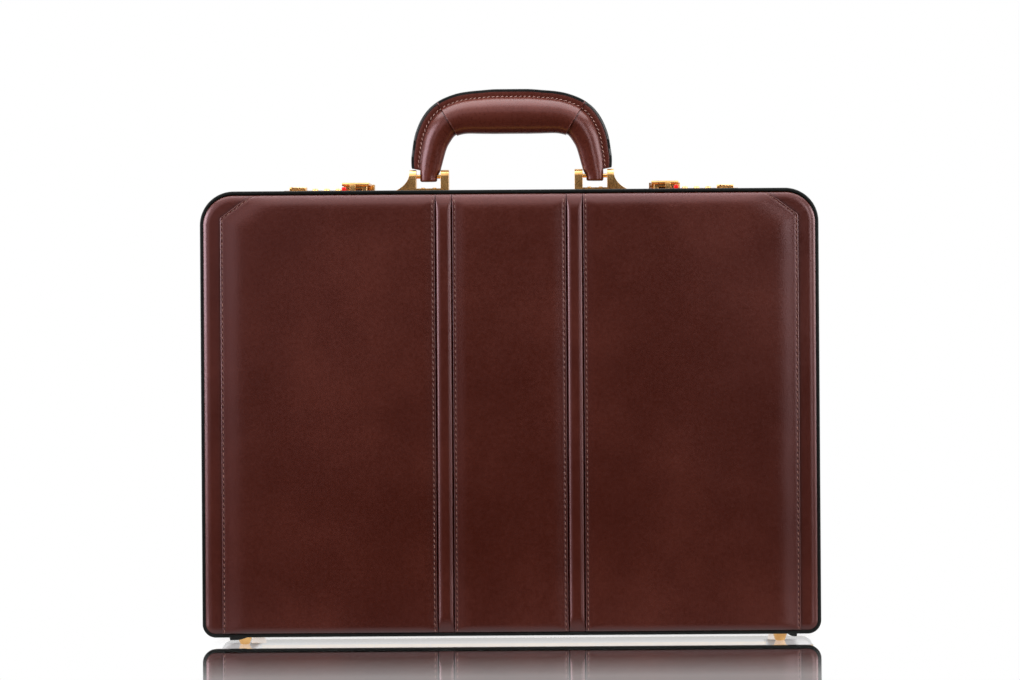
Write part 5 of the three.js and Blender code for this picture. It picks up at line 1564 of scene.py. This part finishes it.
# %% Organiser
ORGANISER_HALF, ORGANISER_BOTTOM, ORGANISER_TOP = 118 * mm, 137.6 * mm, 221.6 * mm
BACKING, SLOT_BOTTOM = -26.9 * mm, 144 * mm
SLOT_SPAN, SLOT_TOPS, SLOT_STEP = (-112 * mm, -20 * mm), (206, 192, 178), 0.55 * mm
leather_leaf("organiser_backing", (-ORGANISER_HALF, ORGANISER_HALF), ORGANISER_BOTTOM, ORGANISER_TOP, BACKING,
             0.8 * mm, ["organiser"], round_top=5 * mm)
lines = [row_across(z * mm, ORGANISER_HALF - 3 * mm, BACKING + 0.1 * mm) for z in (140.2, 218.9)]
lines += [[(side * (ORGANISER_HALF - 2.6 * mm), BACKING + 0.1 * mm, z * mm) for z in range(142, 217, 3)]
          for side in SIDES.values()]
sewn("organiser_stitches", lines)
for number, top in enumerate(SLOT_TOPS, 1):
    leather_leaf(f"card_slot_{number}", SLOT_SPAN, SLOT_BOTTOM, top * mm, BACKING + SLOT_STEP * number,
                 0.5 * mm, bow=0.25 * mm, across=24, up=10)
leather_leaf("flat_pocket", (30 * mm, 112 * mm), SLOT_BOTTOM, 196 * mm, BACKING + 1.0 * mm, 0.9 * mm,
             bow=0.9 * mm, across=24, up=16, round_top=4 * mm)
leather_leaf("flat_pocket_strap", (63.5 * mm, 78.5 * mm), 174 * mm, 213 * mm, BACKING + 2.6 * mm, 0.9 * mm,
             across=10, up=20, round_top=3 * mm)
print("organiser:", len(SLOT_TOPS), "card slots and a flat pocket")

# %% Pen loops and press stud
LOOP_HALF, LOOP_RISE, LOOP_STEPS = 5.6 * mm, 5.0 * mm, 14
LOOP_BOTTOM, LOOP_TOP = 158 * mm, 186 * mm
loops = []
for number, place in enumerate((-10, 5, 20), 1):
    x = place * mm
    section = [(x - LOOP_HALF * 1.15, BACKING + 0.1 * mm)]
    for k in range(1, LOOP_STEPS):
        angle = math.pi * k / LOOP_STEPS
        section.append((x - LOOP_HALF * math.cos(angle), BACKING + 0.3 * mm + LOOP_RISE * math.sin(angle)))
    section.append((x + LOOP_HALF * 1.15, BACKING + 0.1 * mm))
    leather_fold(f"pen_loop_{number}", section, 0.8 * mm, LOOP_BOTTOM, LOOP_TOP, "Z")
    loops += [[(x + side * LOOP_HALF * 1.08, BACKING + 0.15 * mm, z * mm) for z in range(159, 186, 2)]
              for side in SIDES.values()]
sewn("pen_loop_stitches", loops, 3.2 * mm)
stud = head_mesh("press stud", 4.2 * mm, 1.3 * mm, slotted=False)
lay_heads("press_stud", stud, [(71 * mm, BACKING + 2.6 * mm, 180.5 * mm)], (0, 1, 0), polished_brass, "lid",
          2)
print("pen loops:", len(loops) // 2, "and 1 press stud")

# %% [markdown]
# ## Floor, backdrop and light
# The studio is white behind the case and dark behind the camera, which is why the brass looks brown from the
# front while its tops shine. The world does that: it is plain white to the camera, and to the other rays it
# is as bright as such a room is on that side.

# %% World
world = bpy.data.worlds.new("white studio")
scene.world = world
world.use_nodes = True
tree = world.node_tree
tree.nodes.clear()


def seen_white(tree, where):
    """1 for rays that look at the background: camera rays, and mirrored or passed ones where it is white."""
    ray = add_node(tree, "ShaderNodeLightPath").outputs
    mirrored = add_node(tree, MATH, MAXIMUM, (ray["Is Glossy Ray"], ray["Is Transmission Ray"]))
    there = add_node(tree, MATH, MULTIPLY, (mirrored, where))
    return add_node(tree, MATH, MAXIMUM, (ray["Is Camera Ray"], there))


TURNS_WHITE = (-0.8, -0.3)  # a look's direction along Y: the room is dark up to the first, then whitens
DARK_SIDE, WHITE_SIDE = 0.045, 0.4  # how bright mirrors find the room behind the camera, behind the case
SCATTERED = 0.24  # the least that comes from any side on surfaces that scatter light
direction = add_node(tree, "ShaderNodeTexCoord").outputs["Generated"]
depth = add_node(tree, "ShaderNodeSeparateXYZ", sockets={0: direction}).outputs["Y"]
behind = add_node(tree, MAP_RANGE, SMOOTH, (depth, *TURNS_WHITE, 0, 1))
dim = add_node(tree, MAP_RANGE, sockets=(behind, 0, 1, DARK_SIDE, WHITE_SIDE))
spread = add_node(tree, "ShaderNodeLightPath").outputs["Is Diffuse Ray"]
room = add_node(tree, MATH, MAXIMUM, (dim, add_node(tree, MATH, MULTIPLY, (spread, SCATTERED))))
level = add_node(tree, MIX, PLAIN_NUMBERS, {0: seen_white(tree, behind), 2: room, 3: 1.0})
sky = add_node(tree, "ShaderNodeBackground", sockets={"Color": grey(1.0), "Strength": level})
add_node(tree, "ShaderNodeOutputWorld", sockets={"Surface": sky.outputs[0]})
print("world: white to the camera,", DARK_SIDE, "to mirrors that look past it")

# %% [markdown]
# ## The floor
# The case stands on a white acrylic sheet, in front of which a second one lies 1.6 mm higher. That is why the
# mirror image starts closer to the case than the feet's height would put it. Three things are mixed on it.
# Away from the case the sheet is clear to straight looks and to shadow rays, so the white world shows
# through it, and so does the lid, which swings below the table when the case is opened standing. Round the
# case it is a matt white board that takes the shadow. And where it is looked at from low down, it mirrors.
# All distances are in metres: ahead is towards the camera, and reach is the way out from under the case.

# %% The sheet
SHEET_TOP, SHEET_NEAR, SHEET_SLOPE, FLOOR_END = 1.6 * mm, -88 * mm, 4 * mm, 8
STRIPS = [(-FLOOR_END, SHEET_TOP), (SHEET_NEAR, SHEET_TOP), (SHEET_NEAR + SHEET_SLOPE, 0), (FLOOR_END, 0)]
floor_mesh = bpy.data.meshes.new("floor")
floor_points = [(side * FLOOR_END, y, z) for y, z in STRIPS for side in SIDES.values()]
floor_faces = [(2 * k, 2 * k + 1, 2 * k + 3, 2 * k + 2) for k in range(len(STRIPS) - 1)]
floor_mesh.from_pydata(floor_points, [], floor_faces)
floor = bpy.data.objects.new("floor", floor_mesh)
scene.collection.objects.link(floor)
floor_material, tree = new_material("white acrylic sheet")
floor_mesh.materials.append(floor_material)
print("floor strips:", len(floor_faces))

# %% Clear sheet and matt board
BRASS_SEES_WHITE, TABLE_STARTS = (0.06, 0.1), (0.3, 0.34)  # ahead: where brass and the board turn dark
SHADE_REACH, SHADE_SHARE = 0.09, 0.36
FRONT_FADE, FRONT_SHARE = (-0.03, 0.05), 0.2  # in front of the case the shade falls to this share of it
UNDER_HALF = (CASE_WIDTH / 2 - 15 * mm, FACE, 0)
place = add_node(tree, "ShaderNodeTexCoord").outputs["Object"]
split = add_node(tree, "ShaderNodeSeparateXYZ", sockets={0: place}).outputs
aside = add_node(tree, MATH, ABSOLUTE, [split["X"]])
ahead = add_node(tree, MATH, MULTIPLY, (split["Y"], -1))
ray = add_node(tree, "ShaderNodeLightPath").outputs
straight = add_node(tree, MATH, MAXIMUM, (ray["Is Camera Ray"], ray["Is Shadow Ray"]))
whiteness = seen_white(tree, add_node(tree, MAP_RANGE, SMOOTH, (ahead, *BRASS_SEES_WHITE, 1, 0)))
lit = add_node(tree, "ShaderNodeEmission", sockets={"Strength": whiteness})
clear = add_node(tree, "ShaderNodeBsdfTransparent", sockets={"Color": grey(1.0)})
glow = add_node(tree, "ShaderNodeMixShader", sockets=(straight, lit, clear))
white_part = add_node(tree, MAP_RANGE, SMOOTH, (ahead, *TABLE_STARTS, 1, 0))
board = add_node(tree, MIX, COLOURS, {0: white_part, 6: tint("2e2e2e"), 7: tint("f4f4f4")}).outputs[2]
matt = add_node(tree, "ShaderNodeBsdfDiffuse", sockets={"Color": board})
off_middle = add_node(tree, VECTOR_MATH, ABSOLUTE, [place])
off_edge = add_node(tree, VECTOR_MATH, SUBTRACT, (off_middle, UNDER_HALF))
outside = add_node(tree, VECTOR_MATH, MAXIMUM, (off_edge, (0, 0, 0)))
reach = add_node(tree, VECTOR_MATH, LENGTH, [outside]).outputs["Value"]
near = add_node(tree, MAP_RANGE, SMOOTH, (reach, 0, SHADE_REACH, SHADE_SHARE, 0))
front = add_node(tree, MAP_RANGE, SMOOTH, (ahead, *FRONT_FADE, 1, FRONT_SHARE))
shaded = add_node(tree, MATH, MULTIPLY, (near, front))
sheet = add_node(tree, "ShaderNodeMixShader", sockets=(shaded, glow, matt))
print("clear away from the case, and at most", SHADE_SHARE, "matt next to it")

# %% Mirror image
# Under the case the sheet mirrors a third, or more beside the front feet. From the raised sheet's edge on it
# mirrors fully and fades with distance, and past its ends and from high up it mirrors nothing
FOOT_PLACE, FOOT_AROUND, FOOT_AHEAD = 198.4 * mm, (0.009, 0.013), (0.028, 0.036)
UNDER_SHARE, FOOT_SHARE, FAR_SHARE = 0.33, 0.75, 0.75
SHEET_EDGE, FADE_OVER = (0.0885, 0.0895), (0.089, 0.279)
SHEET_ENDS, SIDE_ENDS, LOW_LOOK = (0.33, 0.38), (0.3, 0.4), (0.72, 0.87)
by_foot = add_node(tree, MATH, ABSOLUTE, [add_node(tree, MATH, SUBTRACT, (aside, FOOT_PLACE))])
beside = add_node(tree, MAP_RANGE, sockets=(by_foot, *FOOT_AROUND, 1, 0))
foot_share = add_node(tree, MAP_RANGE, sockets=(ahead, *FOOT_AHEAD, UNDER_SHARE, FOOT_SHARE))
under_foot = add_node(tree, MIX, PLAIN_NUMBERS, {0: beside, 2: UNDER_SHARE, 3: foot_share})
raised = add_node(tree, MAP_RANGE, sockets=(ahead, *SHEET_EDGE, 0, 1))
mirror_share = add_node(tree, MIX, PLAIN_NUMBERS, {0: raised, 2: under_foot, 3: 1.0})
far = add_node(tree, MAP_RANGE, sockets=(ahead, *FADE_OVER, 0, 1))
faded = add_node(tree, MATH, {"operation": "POWER"}, (far, 2))
fade = add_node(tree, MAP_RANGE, sockets=(faded, 0, 1, 1, FAR_SHARE))
ends = add_node(tree, MATH, MULTIPLY, (add_node(tree, MAP_RANGE, SMOOTH, (ahead, *SHEET_ENDS, 1, 0)),
                                       add_node(tree, MAP_RANGE, SMOOTH, (aside, *SIDE_ENDS, 1, 0))))
slant = add_node(tree, "ShaderNodeLayerWeight", sockets={"Blend": 0.5}).outputs["Facing"]
low = add_node(tree, MAP_RANGE, SMOOTH, (slant, *LOW_LOOK, 0, 1))
looked_at = add_node(tree, MATH, MULTIPLY, (add_node(tree, MATH, SUBTRACT, (1, ray["Is Diffuse Ray"])), low))
for share in (fade, ends, looked_at):
    mirror_share = add_node(tree, MATH, MULTIPLY, (mirror_share, share))
mirror = add_node(tree, "ShaderNodeBsdfAnisotropic", sockets={"Color": grey(1.0), "Roughness": 0.02})
both = add_node(tree, "ShaderNodeMixShader", sockets=(mirror_share, sheet, mirror))
add_node(tree, "ShaderNodeOutputMaterial", sockets={"Surface": both})
print("floor nodes:", len(tree.nodes))

# %% [markdown]
# ## Light
# A long lamp overhead gives the soft white line along the top of each panel. A lamp low on either side
# lights the slopes of the panels and the legs of the handle, and a smaller card in front of each fills the
# faces. A lamp's strength is given as how bright its face is, so it stays right when its size changes.

# %% Soft boxes
def soft_box(name, place, target, size, radiance, colour="ffffff"):
    """A rectangular lamp: its power follows from how bright its face is, whatever its size."""
    data = bpy.data.lights.new(name, "AREA")
    data.shape = "RECTANGLE"
    data.size, data.size_y = size
    data.energy = radiance * math.pi * size[0] * size[1]
    data.color = tint(colour)[:3]
    lamp = bpy.data.objects.new(name, data)
    scene.collection.objects.link(lamp)
    lamp.location = place
    lamp.rotation_euler = (Vector(target) - Vector(place)).to_track_quat("-Z", "Y").to_euler()


AT_FACE = (0, -0.05, 0.25)
soft_box("overhead", (0, 0.0, 1.0), (0, -0.02, 0.35), (1.6, 0.5), 5.8)
soft_box("front fill", (0, -0.75, 1.15), (0, -0.05, 0.3), (1.7, 0.8), 1.6)
soft_box("left", (-1.7, -0.6, 0.64), AT_FACE, (0.95, 1.0), 13.0, "f8f6ff")
soft_box("left card", (-1.0, -1.75, 0.7), AT_FACE, (0.7, 1.1), 1.9, "fff4f8")
soft_box("right", (1.7, -0.3, 0.62), AT_FACE, (0.9, 1.0), 9.0)
soft_box("right card", (1.1, -1.7, 0.7), AT_FACE, (0.6, 1.1), 6.5)
scene.view_settings.view_transform = "Standard"
print("lamps:", len(bpy.data.lights))
